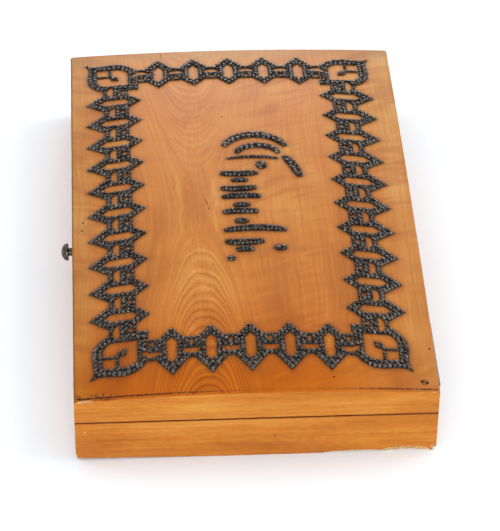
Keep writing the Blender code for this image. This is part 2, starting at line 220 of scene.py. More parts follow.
# %% [markdown]
# ## Satinwood
#
# The lid's top is one flat-sawn board, so its year rings show as a figure: arches that point up the
# board in its near part and cups that point down the board in its far part, with nearly straight
# lines to both sides. One field gives all of them as its contour lines. It rises with the distance
# off the figure's middle line, falls with the distance from the figure's middle along the board,
# and noise makes the lines wander. The fine streaks of the board follow the same field.
#
# Straight boards only need streaks along their length. Over both lie short dark pores and slow
# changes of tone. The polish has aged unevenly, so the lid turns amber towards its near edge. At its
# three other edges the colour carries painted light: a painted sheen at the back edge, painted shade
# at the front edge, and a painted sheen over darker wood at the far edge.

# %% Tones of the wood
WOOD_DARK = (0.285, 0.078, 0.009)
WOOD_MIDDLE = (0.475, 0.163, 0.026)
WOOD_LIGHT = (0.575, 0.285, 0.073)
WOOD_RED = (0.340, 0.092, 0.018)
# Dark brown of dirt, also used for painted shade round the steel and on the front arris
GRIME_AND_SHADE_BROWN = (0.050, 0.017, 0.005)
# Dark red-brown for the painted shade in the seam between box and lid
SEAM_SHADE = (0.125, 0.026, 0.005)
AMBER_TINT = (0.90, 0.64, 0.03)
# Painted light at three edges of the lid: sheen at the back, shade at the front, sheen over darker wood at
# the far end
BACK_SHEEN = (0.99, 1.13, 1.45)
FRONT_SHADE = (0.90, 1.0, 1.12)
FAR_SHEEN = (0.84, 0.96, 1.16)
WOOD_CONSTANTS = {"Specular IOR Level": 0.15}
WOOD_RELIEF = 0.03 * MM


def board_pattern(finish, along, across, depth, seed, fine_share=1.0):
    """Streaks, pores and slow tones of a board, from 0 (dark) to 1 (light), and its pores alone."""
    streaks = finish.noise(finish.point(along * 0.02 + seed, across * 0.8, depth * 0.9), detail=4.0)
    fibres = finish.noise(finish.point(along * 0.09, across * 3.0 + seed, depth * 4.5), detail=1.0)
    tones = finish.noise(finish.point(along * 0.03, across * 0.06, depth * 0.06 + seed), detail=1.0)
    flecks = finish.noise(finish.point(along * 0.45 + seed, across * 4.0, depth * 4.0), detail=0.0)
    pores = finish.fade(flecks, 0.70, 0.80)
    fine = (streaks - 0.5) * 0.75 + (fibres - 0.5) * 0.30
    tone = 0.5 + fine * fine_share + (tones - 0.5) * 0.8
    return tone, pores


def wood_colour(finish, tone):
    return finish.ramp(tone, [(0.0, WOOD_DARK), (0.5, WOOD_MIDDLE), (1.0, WOOD_LIGHT)])


print("wood tones ready")

# %% The year rings of the lid's board
FIGURE_MIDDLE = (-16.0, -9.0)
FIGURE_ROUND = 20.0
FIGURE_REACH = 9.0
FIGURE_DROP = 12.6
FIGURE_POWER = 2.45
ARM_START = 15.0
ARM_SLOPE = 5.5
STRAIGHT_FROM = 42.0
RING_PITCH = 3.9
FIRST_RING = -29.4
FULL_TURN = 2 * math.pi


def ring_field(finish):
    """The field whose contours are the year rings, the distance off its middle, and a way across it."""
    wander = finish.noise(finish.point(finish.x * 0.04, finish.y * 0.03, 1.7), detail=2.0) - 0.5
    off_x = (finish.x - FIGURE_MIDDLE[0] + wander * 5.0).size()
    off_y = finish.y - FIGURE_MIDDLE[1]
    bend = FIGURE_DROP * (off_x.at_most(ARM_START) / FIGURE_REACH) ** FIGURE_POWER
    rings = bend - (off_y * off_y + FIGURE_ROUND**2) ** 0.5
    out = (off_x - ARM_START).at_least(0.0)
    across = rings / ARM_SLOPE * finish.fade(off_x, STRAIGHT_FROM, ARM_START) + out
    return rings + out * ARM_SLOPE, off_x, across


print("ring pitch:", RING_PITCH, "mm")

# %% [markdown]
# Three helpers draw on this field. A sine wave along it gives light and dark lines, which are clear
# beyond the first ring, in the arches and the cups, and faint elsewhere. Between arches and cups
# the board has a narrow red neck with a pale rim. And across the grain lies the ripple that gives
# satinwood its sheen. It slants down to both sides, and it is strongest on the right.


# %% Lines along the rings
def ring_lines(finish, rings, off_x, shake):
    """What the rings add to the tone: a lighter inside that is partly painted sheen, a pale band beside the
    first ring, and the lines.
    """
    uneven = finish.noise(finish.point(rings * 0.13, 0.5, 8.0), detail=1.0)
    wave = (((rings + shake * 2.0) / RING_PITCH + uneven * 1.8) * FULL_TURN).sine()
    figured = finish.fade(rings + shake, FIRST_RING + 0.6, FIRST_RING - 0.4)
    near = finish.fade(finish.y, 20.0, -20.0)
    # Lighter inside the first ring: wood tone in the near arches, and painted sheen in the far cups
    inner_tone_and_sheen = figured * finish.fade(rings, FIRST_RING - 26.0, FIRST_RING) * (near * 0.02 + 0.04)
    first_band = finish.fade(rings + shake * 2.0, FIRST_RING - 5.5, FIRST_RING - 1.0)
    light_line = finish.fade(wave, 0.35, 1.0) * finish.fade(uneven, 0.38, 0.60, 0.3, 1.0)
    dark_line = finish.fade(wave, -0.45, -1.0) * finish.fade(uneven, 0.60, 0.40, 0.2, 1.0)
    dark_depth = finish.fade(finish.y, 0.0, -55.0, 0.12, 0.32)
    lines = light_line * (near * 0.10 + 0.14) - dark_line * dark_depth
    strength = (finish.fade(off_x, 27.0, 10.0) * 0.95 + 0.05) * (figured * 0.75 + 0.25)
    return inner_tone_and_sheen + figured * first_band * near * 0.13 + lines * strength


def figure_middle(finish, off_x, shake):
    """How far a place lies in the red neck between arches and cups, and in the rim round it."""
    neck = finish.fade(off_x, 6.5, 3.5) * finish.fade((finish.y + 4.0).size(), 20.0, 5.0)
    rim_off = off_x + shake * 4.0
    rim = finish.fade(rim_off, 5.0, 5.9) * finish.fade(rim_off, 6.9, 6.1)
    return neck, rim * finish.fade((finish.y + 7.0).size(), 22.0, 8.0)


print("first ring", -FIRST_RING, "mm down the field")

# %% Ripple across the grain, amber, and painted light at the edges
RIPPLE_SLOPE = 0.42


def cross_ripple(finish):
    x, y = finish.x, finish.y
    lift = y - x.size() * RIPPLE_SLOPE
    streaks = finish.noise(finish.point(lift * 0.21, x * 0.045, 6.0), detail=2.0)
    field = finish.noise(finish.point(x * 0.05, y * 0.035, 9.0), detail=1.0)
    ripple = finish.fade(streaks, 0.44, 0.62) * finish.fade(field, 0.40, 0.58, 0.4, 1.0)
    return ripple * finish.fade(x, -12.0, 14.0, 0.25, 1.0).at_least(finish.fade(x, -26.0, -42.0))


def tint_edges(finish, colour):
    """Amber towards the near edge; a painted sheen at the back, painted shade at the front, and a painted
    sheen over darker wood at the far end.
    """
    x, y = finish.x, finish.y
    wander = finish.noise(finish.point(x * 0.05, y * 0.3, 2.0), detail=2.0) - 0.5
    amber = finish.fade(y + wander * 9.0, -45.0, -92.0) * finish.fade(x, 52.0, 16.0, 0.3, 1.0)
    # The back and far tints are a painted sheen, the front tint is painted shade
    edges = (
        (amber, AMBER_TINT),
        (finish.fade(x, 46.0, 56.0), BACK_SHEEN),
        (finish.fade(x, -48.0, -57.0), FRONT_SHADE),
        (finish.fade(y, 84.0, 92.0), FAR_SHEEN),
    )
    for share, tint in edges:
        colour = finish.mix(share, colour, tint, "MULTIPLY")
    return colour


print("ripple slope:", RIPPLE_SLOPE)

# %% [markdown]
# The lid has been handled and polished for many years. The wood round the steel is darker: dirt
# lies there, where no cloth reaches, and painted shade falls at the foot of the studs. An attribute
# on the board's points says how close the steel is, and is filled in once the board is made. More
# dirt lies in the joint along the near edge and round the two holes at the near right corner, the
# near left corner is stained, and the front arris has painted shade.

# %% Dirt and painted shade on the lid
PIN_HEADS = (55.2, -90.8)


def finish_lid(finish, colour, tone, pores, ripple):
    """Adds dirt and painted shade round the steel, stains at the near edge, painted shade on the front
    arris, and old polish.
    """
    x, y = finish.x, finish.y
    patchiness = finish.noise(finish.point(x * 0.9, y * 0.9, 4.0), detail=2.0)
    steel_shade_and_dirt = finish.node("ShaderNodeAttribute", {"attribute_name": "steel_shade_and_dirt"}, output="Fac")
    # Darker round the steel: dirt, and painted shade at the foot of the studs
    colour = finish.mix(steel_shade_and_dirt * finish.fade(patchiness, 0.2, 0.7, 0.45, 0.75), colour, GRIME_AND_SHADE_BROWN)
    stain = finish.noise(finish.point(x * 0.7, y * 0.45, 7.0), detail=3.0)
    left_stain = finish.fade(y, -90.5, -93.6) * finish.fade(x, -43.0, -50.0)
    left_stain = left_stain * finish.fade(stain, 0.46, 0.60)
    edge_line = finish.fade(y + (stain - 0.5) * 0.9, -93.2, -93.75) * finish.fade(patchiness, 0.3, 0.5)
    edge_line = edge_line * finish.fade(y, -94.3, -94.0)
    edge_line = edge_line * finish.fade((x - 8.0).size(), 14.0, 34.0, 0.1, 1.0)
    pin_x, pin_y = x - PIN_HEADS[0], y - PIN_HEADS[1]
    pin_dirt = finish.fade(pin_x * pin_x + pin_y * pin_y, 3.2, 0.6) * 0.55
    # Painted shade along the front arris, on the side turned away from the light
    front_arris_shade = finish.fade(x, -59.2, -59.8) * finish.fade(patchiness, 0.2, 0.5, 0.3, 0.7)
    # The stains, the dark joint line, the dirt round the holes and the painted shade of the arris, together
    darkening = (left_stain * 0.7).at_least(edge_line * 0.75).at_least(pin_dirt).at_least(front_arris_shade)
    colour = finish.mix(darkening, colour, GRIME_AND_SHADE_BROWN)
    colour = finish.mix(pores * 0.45, colour, WOOD_DARK)
    links = {"Base Color": colour, "Roughness": 0.42 + (tone - 0.5) * 0.10}
    height = tone * 0.5 - pores * 0.6 + ripple * 0.5
    return finish.close(links, WOOD_CONSTANTS, height, WOOD_RELIEF)


print("dirt round the holes at", PIN_HEADS, "mm")


# %% The lid's figured board
def figured_wood():
    finish = Finish("satinwood_figured")
    x, y = finish.x, finish.y
    rings, off_x, across = ring_field(finish)
    side = finish.fade(x - FIGURE_MIDDLE[0], -4.0, 4.0) * 9.0
    fine_share = finish.fade(y, -92.0, -62.0, 0.35, 0.8)
    tone, pores = board_pattern(finish, y, across, side, 3.0, fine_share)
    shake = finish.noise(finish.point(x * 0.30, y * 0.10, 5.1), detail=2.0) - 0.5
    tone = tone + ring_lines(finish, rings, off_x, shake)
    margin = finish.fade(x.size(), 48.0, 58.0) * 0.10
    tone = tone + margin + finish.fade(y, -70.0, 60.0, -0.12, 0.07) + x * 0.0006
    ripple = cross_ripple(finish)
    neck, rim = figure_middle(finish, off_x, shake)
    colour = wood_colour(finish, tone + rim * 0.20)
    colour = finish.mix(ripple * 0.50 + neck * 0.35, colour, WOOD_RED)
    return finish_lid(finish, tint_edges(finish, colour), tone, pores, ripple)


FIGURED_WOOD = figured_wood()
print("made", FIGURED_WOOD.name)

# %% [markdown]
# The walls and rails are straight boards, so one recipe makes them all, with the grain along x for
# the ends and along y for the sides. The seam between box and lid gets painted shade in dark brown,
# most of all on the outer faces. The boards are also a little darker along the foot.

# %% Straight boards, along the length and across the ends
SEAM_HEIGHT = 16.7 * MM


def straight_wood(name, seed, grain, tint=(1.0, 1.0, 1.0)):
    """Wood for a board whose grain runs along x or y, with painted shade in the seam and a darker foot."""
    finish = Finish(name)
    along, across = (finish.x, finish.y) if grain == "x" else (finish.y, finish.x)
    tone, pores = board_pattern(finish, along, finish.z * 1.6, across, seed)
    clouds = finish.noise(finish.point(along * 0.06, finish.z * 0.22, across * 0.06 + seed))
    band = (finish.z * 1.4 + (clouds - 0.5) * 9.0 + along * 0.01).sine()
    mottle = finish.noise(finish.point(along * 0.35, finish.z * 0.9, across * 0.35 + seed), detail=3.0)
    tone = tone + (clouds - 0.5) * 0.30 + band * 0.03 + (mottle - 0.5) * 0.40
    colour = wood_colour(finish, tone)
    colour = finish.mix(1.0, colour, tint, "MULTIPLY")
    colour = finish.mix(pores * 0.45, colour, WOOD_DARK)
    blotches = finish.noise(finish.point(along * 0.25, finish.z * 0.8, seed), detail=3.0)
    # Darker along the foot of each board
    darker_foot = finish.fade(finish.z, 1.6, 0.2) * finish.fade(blotches, 0.45, 0.7)
    colour = finish.mix(darker_foot * 0.6, colour, WOOD_DARK)
    outside = finish.fade(finish.x.size(), 58.6, 59.4).at_least(finish.fade(finish.y.size(), 93.6, 94.4))
    off_seam = (finish.z - SEAM_HEIGHT / MM).size()
    # Painted shade in the seam between box and lid, strongest on the outer faces
    seam_shade = finish.fade(off_seam + (blotches - 0.5) * 0.3, 0.50, 0.22) * (outside * 0.75 + 0.25)
    colour = finish.mix(seam_shade * 0.9, colour, SEAM_SHADE)
    links = {"Base Color": colour, "Roughness": 0.44 + (tone - 0.5) * 0.10}
    return finish.close(links, WOOD_CONSTANTS, tone * 0.5 - pores * 0.6, WOOD_RELIEF)


END_WOOD = straight_wood("satinwood_ends", 11.0, "x", (1.0, 0.93, 0.60))
LID_END_WOOD = straight_wood("satinwood_lid_ends", 17.0, "x", (1.03, 0.99, 0.62))
SIDE_WOOD = straight_wood("satinwood_sides", 23.0, "y", (1.0, 0.97, 0.85))
INNER_WOOD = straight_wood("satinwood_inside", 31.0, "y", (1.0, 1.04, 1.15))
print("made", [wood.name for wood in (END_WOOD, LID_END_WOOD, SIDE_WOOD, INNER_WOOD)])


# %% Fresh wood in chips, and a dark finish for pits and for painted shade in the near joint
def plain_finish(name, dark, light, roughness, metallic=0.0, scale=2.0):
    """A finish whose two tones change over about half a millimetre to a millimetre."""
    finish = Finish(name)
    speckle = finish.noise(finish.place, scale, detail=3.0)
    colour = finish.ramp(speckle, [(0.35, dark), (0.65, light)])
    links = {"Base Color": colour, "Roughness": roughness + (speckle - 0.5) * 0.15}
    return finish.close(links, {"Metallic": metallic}, speckle, 0.02 * MM)


CHIPPED_WOOD = plain_finish("satinwood_chipped", (0.30, 0.14, 0.045), (0.74, 0.50, 0.25), 0.75)
PIT_DARK = plain_finish("pit_dark", (0.012, 0.006, 0.004), (0.05, 0.022, 0.010), 0.8)
print("made", CHIPPED_WOOD.name, PIT_DARK.name)

# %% [markdown]
# ## Steel
#
# Cut steel studs are small faceted heads. Age has darkened them almost to black, so what the eye
# sees is mostly the glint of single facets. The metal is dark and fairly smooth, with patches where
# it has dulled. Between the heads lies a dull, nearly black bed: old polish and dirt, and painted
# shade in the gaps.

# %% Stud steel, its bed of dirt and painted shade, and hinge steel
STUD_STEEL = plain_finish("stud_steel", (0.028, 0.022, 0.018), (0.138, 0.120, 0.104), 0.27, 1.0, 0.8)
# Nearly black bed between the studs: old polish and dirt, and painted shade in the gaps
STUD_BED_DIRT_AND_SHADE = plain_finish("stud_bed_dirt_and_shade", (0.010, 0.006, 0.004), (0.045, 0.022, 0.012), 0.7, 0.0, 1.5)
HINGE_STEEL = plain_finish("old_hinge_steel", (0.10, 0.09, 0.08), (0.30, 0.28, 0.25), 0.42, 1.0, 1.2)
print("made", STUD_STEEL.name, STUD_BED_DIRT_AND_SHADE.name, HINGE_STEEL.name)

# %% [markdown]
# ## Working in edit mode
#
# Operators act on all that is selected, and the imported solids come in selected. So each piece
# starts from a clean selection, and faces or edges are then picked in code by where they are and
# which way they face. A few helpers keep that short.

# %% Selecting in code
def clean_selection():
    bpy.ops.object.select_all(action="DESELECT")
    bpy.context.view_layer.objects.active = None


def activate(obj):
    clean_selection()
    obj.select_set(True)
    bpy.context.view_layer.objects.active = obj


def select_whole():
    bpy.ops.mesh.select_all(action="SELECT")


def edit(obj):
    """Goes into edit mode on one piece with nothing in it selected."""
    activate(obj)
    bpy.ops.object.mode_set(mode="EDIT")
    bpy.ops.mesh.select_all(action="DESELECT")


def leave_edit():
    bpy.ops.object.mode_set(mode="OBJECT")


def pick_faces(obj, test):
    """Selects the faces for which test(middle, normal) is true, and only those."""
    bpy.ops.mesh.select_mode(type="FACE")
    bpy.ops.mesh.select_all(action="DESELECT")
    shape = bmesh.from_edit_mesh(obj.data)
    for face in shape.faces:
        face.select_set(bool(test(face.calc_center_median(), face.normal)))
    bmesh.update_edit_mesh(obj.data)


def pick_edges(obj, test):
    """Selects the edges for which test(first end, second end, edge) is true, and only those."""
    bpy.ops.mesh.select_mode(type="EDGE")
    bpy.ops.mesh.select_all(action="DESELECT")
    shape = bmesh.from_edit_mesh(obj.data)
    shape.normal_update()
    for edge in shape.edges:
        edge.select_set(bool(test(edge.verts[0].co, edge.verts[1].co, edge)))
    bmesh.update_edit_mesh(obj.data)


print("selection helpers ready")


# %% Shaping and settling a piece
def apply_place():
    bpy.ops.object.transform_apply(location=True, rotation=True, scale=True)


def move_verts(obj, place):
    """Moves each vertex in object mode to what place(co) returns."""
    for vert in obj.data.vertices:
        vert.co = place(vert.co.copy())
    obj.data.update()


def apply_modifier(obj, kind, **settings):
    activate(obj)
    modifier = obj.modifiers.new(kind.title(), kind)
    for key, value in settings.items():
        setattr(modifier, key, value)
    bpy.ops.object.modifier_apply(modifier=modifier.name)


def join(pieces):
    """Joins the other pieces into the first."""
    clean_selection()
    for piece in pieces:
        piece.select_set(True)
    bpy.context.view_layer.objects.active = pieces[0]
    bpy.ops.object.join()


def smooth(obj, angle=30):
    activate(obj)
    bpy.ops.object.shade_smooth_by_angle(angle=math.radians(angle))


def settle(obj, name, body, slot, *nodes):
    """Names a finished piece, applies its place, hangs it under its body and hides the solids it replaces.
    """
    activate(obj)
    apply_place()
    obj.name = name
    obj.data.name = name
    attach(obj, body)
    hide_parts(*nodes)


print("helpers ready")

# %% [markdown]
# ## The boards of the base
#
# The base is a tray: two end walls over the full width, two long walls between them, and a bottom
# board let in between all four. Each wall starts as a cube at its real size. Its long edges are cut
# into short lengths, so that the top edge can bow a little and the worn arris can wander, as old
# hand-planed boards do. The two corners away from the camera are worn rounder than the rest.

# %% Sizes of the box, as in its solids
WIDTH = 120.0 * MM
LENGTH = 190.0 * MM
WALL = 5.0 * MM
BOTTOM = 4.0 * MM
HALF_X, HALF_Y = WIDTH / 2, LENGTH / 2
INNER_X, INNER_Y = HALF_X - WALL, HALF_Y - WALL
HAIRLINE = 0.02 * MM
TOUCH = 0.01 * MM
STEP = 2.5 * MM
dice = random.Random(7)


def block(low, high, material=None):
    """A cube between two corners."""
    low, high = Vector(low), Vector(high)
    clean_selection()
    bpy.ops.mesh.primitive_cube_add(size=1.0, location=(low + high) / 2, scale=high - low)
    obj = bpy.context.object
    apply_place()
    if material:
        obj.data.materials.append(material)
    return obj


def new_board(low, high):
    """A block that is cut into short lengths along its longest side."""
    size = Vector(high) - Vector(low)
    long_axis = max(range(3), key=lambda axis: size[axis])
    board = block(low, high)
    edit(board)
    pick_edges(board, lambda start, end, edge: abs((start - end)[long_axis]) > size[long_axis] / 2)
    bpy.ops.mesh.subdivide(number_cuts=round(size[long_axis] / STEP) - 1)
    leave_edit()
    return board


print("inside of the walls:", round(2 * INNER_X / MM), "x", round(2 * INNER_Y / MM), "mm")

# %% Rounding of arrises and corners
SHARP_ANGLE = 1.0
ARRIS_ROUND = 0.35 * MM
FAR_CORNER_ROUND = 1.3 * MM
FAR_CORNER_SEGMENTS = 3
ON_ROUND = 0.95


def round_edges(obj, test, width, segments=2, upright=False):
    """Rounds the sharp edges that the test picks by their middle, or only the upright ones of them."""

    def chosen(start, end, edge):
        sharp = len(edge.link_faces) == 2 and edge.calc_face_angle() > SHARP_ANGLE
        leans = (start - end).xy.length > TOUCH
        return sharp and test((start + end) / 2) and not (upright and leans)

    edit(obj)
    pick_edges(obj, chosen)
    bpy.ops.mesh.bevel(offset=width, segments=segments, affect="EDGES", clamp_overlap=True)
    leave_edit()


def at_far_corner(point):
    """True on the two upright corners away from the camera, before and after they are rounded."""
    off_x = abs(point.x) - HALF_X + FAR_CORNER_ROUND
    off_y = point.y - HALF_Y + FAR_CORNER_ROUND
    return min(off_x, off_y) > 0 and math.hypot(off_x, off_y) > ON_ROUND * FAR_CORNER_ROUND


def on_outside(point):
    """True on the box's outer faces, which hands and tables have worn."""
    on_face = abs(abs(point.x) - HALF_X) < TOUCH or abs(abs(point.y) - HALF_Y) < TOUCH
    return on_face or at_far_corner(point)


def round_board(board, arris):
    round_edges(board, at_far_corner, FAR_CORNER_ROUND, FAR_CORNER_SEGMENTS, upright=True)
    round_edges(board, on_outside, arris)


print("arrises rounded by", round(ARRIS_ROUND / MM, 2), "mm")

# %% Wear along the arrises and a bow in the seam
SEAM_CLEAR = 0.05 * MM
SEAM_BOW = 0.14 * MM
WEAR_DEPTH = 0.10 * MM
WEAR_REACH = 0.6 * MM


def seam_gap(x, y):
    """Half the height of the seam's gap, which is widest in the middle of each end."""
    across = 1 - (x / HALF_X) ** 2
    along = 1 - (y / HALF_Y) ** 2
    return SEAM_CLEAR + SEAM_BOW * max(across, 0.0) * (1.0 if abs(y) > INNER_Y else along)


def bow_top(obj, sign):
    """Moves the edge that meets the seam to its bowed line."""

    def place(co):
        if abs(co.z - SEAM_HEIGHT) < TOUCH:
            co.z = SEAM_HEIGHT + sign * seam_gap(co.x, co.y)
        return co

    move_verts(obj, place)


def wear(obj):
    """Pushes points near the box's outer faces inwards, most of them very little."""

    def place(co):
        near_x = HALF_X - abs(co.x) < WEAR_REACH
        near_y = HALF_Y - abs(co.y) < WEAR_REACH
        if near_x or near_y:
            push = WEAR_DEPTH * dice.random() ** 3
            co.x -= math.copysign(push, co.x) if near_x else 0.0
            co.y -= math.copysign(push, co.y) if near_y else 0.0
        return co

    move_verts(obj, place)


FOOT_WEAR = 0.9 * MM
FOOT_WEAR_FROM = -12.0 * MM


def wear_foot(obj):
    """Lifts the near bottom edge towards the left corner, where the foot has worn away most."""

    def place(co):
        if co.z < TOUCH and co.y < TOUCH - HALF_Y:
            share = max((FOOT_WEAR_FROM - co.x) / (HALF_X + FOOT_WEAR_FROM), 0.0)
            co.z += FOOT_WEAR * share**1.2
        return co

    move_verts(obj, place)


print("seam gap in the middle of an end:", round(2 * seam_gap(0, -HALF_Y) / MM, 2), "mm")

# %% The five boards
SIDE_REACH = INNER_Y - HAIRLINE
FLOOR_LIFT = 0.3 * MM
BASE_BOARDS = {
    "near_end_wall": ("base_near_end", (-HALF_X, -HALF_Y, 0), (HALF_X, -INNER_Y, SEAM_HEIGHT), END_WOOD),
    "far_end_wall": ("base_far_end", (-HALF_X, INNER_Y, 0), (HALF_X, HALF_Y, SEAM_HEIGHT), END_WOOD),
    "front_wall": ("base_front", (-HALF_X, -SIDE_REACH, 0), (-INNER_X, SIDE_REACH, SEAM_HEIGHT), SIDE_WOOD),
    "back_wall": ("base_back", (INNER_X, -SIDE_REACH, 0), (HALF_X, SIDE_REACH, SEAM_HEIGHT), SIDE_WOOD),
    "floor_board": (
        "base_bottom",
        (HAIRLINE - INNER_X, -SIDE_REACH, FLOOR_LIFT),
        (INNER_X - HAIRLINE, SIDE_REACH, BOTTOM),
        INNER_WOOD,
    ),
}
walls = {}
for name, (node, low, high, material) in BASE_BOARDS.items():
    board = new_board(low, high)
    bow_top(board, -1)
    wear_foot(board)
    round_board(board, ARRIS_ROUND)
    wear(board)
    board.data.materials.append(material)
    walls[name] = board
print("boards:", {name: len(board.data.polygons) for name, board in walls.items()})

# %% [markdown]
# ## Chips and bruises
#
# At the foot of the near end a long splinter has broken away, and pale fresh wood shows there. The
# corner at the other end of that wall is knocked off. A chip is cut with a rough rod: a cylinder
# with few sides, cut into short lengths whose points are shaken. The Boolean also brings the
# cutter's own finish along, so the broken faces come out pale without any painting.

# %% Cutting with a rough tool
ROD_STEP = 1.2 * MM
ROD_END = 0.02
ROD_TAPER = 0.3
ROD_SIDES = 7
LENGTHWISE = 0.9


def rough_rod(start, end, radius, shake, material, sides):
    """A rod from start to end, with rounded ends and shaken points, to cut chips with."""
    start, end = Vector(start), Vector(end)
    clean_selection()
    length = (end - start).length
    bpy.ops.mesh.primitive_cylinder_add(
        vertices=sides, radius=radius, depth=length, location=(start + end) / 2
    )
    rod = bpy.context.object
    rod.rotation_euler = (end - start).to_track_quat("Z", "Y").to_euler()
    apply_place()
    edit(rod)
    pick_edges(rod, lambda low, high, edge: (low - high).length > length * LENGTHWISE)
    bpy.ops.mesh.subdivide(number_cuts=max(round(length / ROD_STEP), 2))
    leave_edit()
    axis = (end - start).normalized()

    def place(co):
        off = (co - start) - axis * (co - start).dot(axis)
        share = ((co - start).dot(axis)) / length
        swell = math.sin(math.pi * min(max(share, ROD_END), 1 - ROD_END)) ** ROD_TAPER
        return co + off * ((1 - shake * dice.random()) * swell - 1)

    move_verts(rod, place)
    rod.data.materials.append(material)
    return rod


def carve(obj, cutter):
    """Cuts one piece with another, which is then thrown away."""
    apply_modifier(
        obj,
        "BOOLEAN",
        operation="DIFFERENCE",
        solver="EXACT",
        object=cutter,
        material_mode="TRANSFER",
    )
    bpy.data.objects.remove(cutter, do_unlink=True)


def chip(obj, start, end, radius, shake, material, sides=ROD_SIDES):
    """Cuts a chip with a rough rod, whose places and radius are in millimetres."""
    start, end = [[value * MM for value in point] for point in (start, end)]
    carve(obj, rough_rod(start, end, radius * MM, shake, material, sides))


print("cutting tools ready")

# %% Chips in the near end
NEAR_END_DAMAGE = (
    ((22.3, -95.0, 0.0), (45.0, -95.0, 0.0), 1.3, 0.35, CHIPPED_WOOD),
    ((40.0, -96.4, 0.0), (58.9, -96.4, 0.2), 2.8, 0.15, CHIPPED_WOOD),
    ((58.7, -95.8, -1.0), (58.7, -95.8, 3.6), 1.1, 0.2, CHIPPED_WOOD),
    ((60.3, -97.0, 1.0), (60.3, -91.5, -0.6), 1.6, 0.2, END_WOOD),
    ((-60.4, -96.5, 0.6), (-60.4, -92.0, 0.0), 1.5, 0.15, END_WOOD),
    ((-56.7, -95.4, 12.6), (-56.7, -94.8, 12.6), 0.45, 0.2, CHIPPED_WOOD),
    ((6.0, -95.3, 8.9), (6.0, -94.6, 8.9), 0.35, 0.2, PIT_DARK),
    ((-69.9, -110.2, 13.0), (-69.9, -79.8, -13.0), 10.5, 0.01, END_WOOD, 48),
)
near_wall = walls["near_end_wall"]
for damage in NEAR_END_DAMAGE:
    chip(near_wall, *damage)
print("near end faces after the chips:", len(near_wall.data.polygons))

# %% Recess for the hinges and hole for the button
HINGE_MIDDLES = {"near": -66.0 * MM, "far": 71.0 * MM}
HINGE_LENGTH = 31.0 * MM
LEAF_EDGE = HALF_X - 0.6 * MM
LEAF_WIDTH = 2.8 * MM
LEAF_THICKNESS = 0.8 * MM
LEAF_LIFT = 0.2 * MM
KNUCKLE_RADIUS = 1.1 * MM
PIVOT_X = HALF_X + 0.95 * MM
BUTTON_HEIGHT = 11.0 * MM
BUTTON_HOLE = 1.6 * MM
FIT = 0.1 * MM
BOARD_SMOOTH = 35


def cut_hinge_recesses(wall):
    """Lets both leaves into the wall's edge, with a shallow channel behind the knuckles."""
    recesses = (
        (LEAF_EDGE - LEAF_WIDTH - FIT, LEAF_LIFT + LEAF_THICKNESS + FIT),
        (PIVOT_X - KNUCKLE_RADIUS - FIT, KNUCKLE_RADIUS + FIT),
    )
    for middle in HINGE_MIDDLES.values():
        low_y, high_y = middle - HINGE_LENGTH / 2 - FIT, middle + HINGE_LENGTH / 2 + FIT
        for low_x, reach in recesses:
            low, high = (low_x, low_y, SEAM_HEIGHT - reach), (WIDTH, high_y, SEAM_HEIGHT + reach)
            carve(wall, block(low, high, INNER_WOOD))


cut_hinge_recesses(walls["back_wall"])
hole_start, hole_end = [(x, 0, BUTTON_HEIGHT) for x in (-HALF_X - MM, -HALF_X + 3 * MM)]
carve(walls["front_wall"], rough_rod(hole_start, hole_end, BUTTON_HOLE, 0.0, PIT_DARK, 24))
for name, board in walls.items():
    smooth(board, BOARD_SMOOTH)
    settle(board, name, "base", "satinwood", BASE_BOARDS[name][0])
print("settled", list(walls))

# %% [markdown]
# ## The lid
#
# The lid's top board is crowned both ways. It is a fine grid laid on the same surface as the solid:
# two arches, one for each pair of edges, and a crown that is highest in the middle. Extruding the
# grid downwards gives the board its thickness. It lies in a rebate, inside a thin lip that belongs
# to the rails below. At the near left corner the glue has let go, and the joint gapes there.

# %% The crowned surface
NEAR_CORNER_HEIGHT = 26.0 * MM
FAR_CORNER_HEIGHT = 27.6 * MM
NEAR_ARCH = 4.0 * MM
FAR_ARCH = 1.7 * MM
SIDE_ARCH = 3.1 * MM
CROWN = 4.8 * MM
NEAR_FALL = 1.95 * MM
NEAR_FALL_REACH = 15.0 * MM
PANEL = 3.5 * MM
LIP = 1.1 * MM


def lid_top(x, y):
    """Height of the wood. The far end has warped flatter, and the near edge falls off steeply."""
    far = 0.5 + y / LENGTH
    corner = NEAR_CORNER_HEIGHT + (FAR_CORNER_HEIGHT - NEAR_CORNER_HEIGHT) * far
    end_arch = NEAR_ARCH + (FAR_ARCH - NEAR_ARCH) * far
    across = 1 - (2 * x / WIDTH) ** 2
    along = 1 - (2 * y / LENGTH) ** 2
    into_fall = np.maximum((NEAR_FALL_REACH - HALF_Y - y) / NEAR_FALL_REACH, 0.0)
    crowned = corner + end_arch * across + SIDE_ARCH * along + CROWN * across * along
    return crowned - NEAR_FALL * across * into_fall**2


print("highest wood:", round(max(lid_top(0, y * MM) for y in range(-95, 96)) / MM, 2), "mm")

# %% The joint that has opened
GAPE = 0.42 * MM
GAPE_START = -26.0 * MM
GAPE_REACH = 28.0 * MM
SHUT = 0.04 * MM
SHUT_GROWTH = 0.08 * MM
SHUT_MIDDLE = 8.0 * MM
SHUT_REACH = 40.0 * MM


def joint_gap(x):
    """How far the near joint of the top board has opened at x."""
    share = min(max((GAPE_START - x) / GAPE_REACH, 0.0), 1.0)
    ragged = 0.75 + 0.25 * math.sin(x / MM * 1.9) + 0.12 * math.sin(x / MM * 5.3)
    shut = SHUT + SHUT_GROWTH * min(abs(x - SHUT_MIDDLE) / SHUT_REACH, 1.0)
    return (shut + GAPE * share**0.7) * ragged


print("gap at the left corner:", round(joint_gap(-HALF_X) / MM, 2), "mm")

# %% [markdown]
# The solids have a flat strip of steel for each run of the border and for each stroke. Its outline
# is the maker's drawing, so it is read from a merged copy of the strip. It is used twice: the wood
# round the steel is darkened, by the dirt of years and by painted shade, and later the studs are set
# inside it.

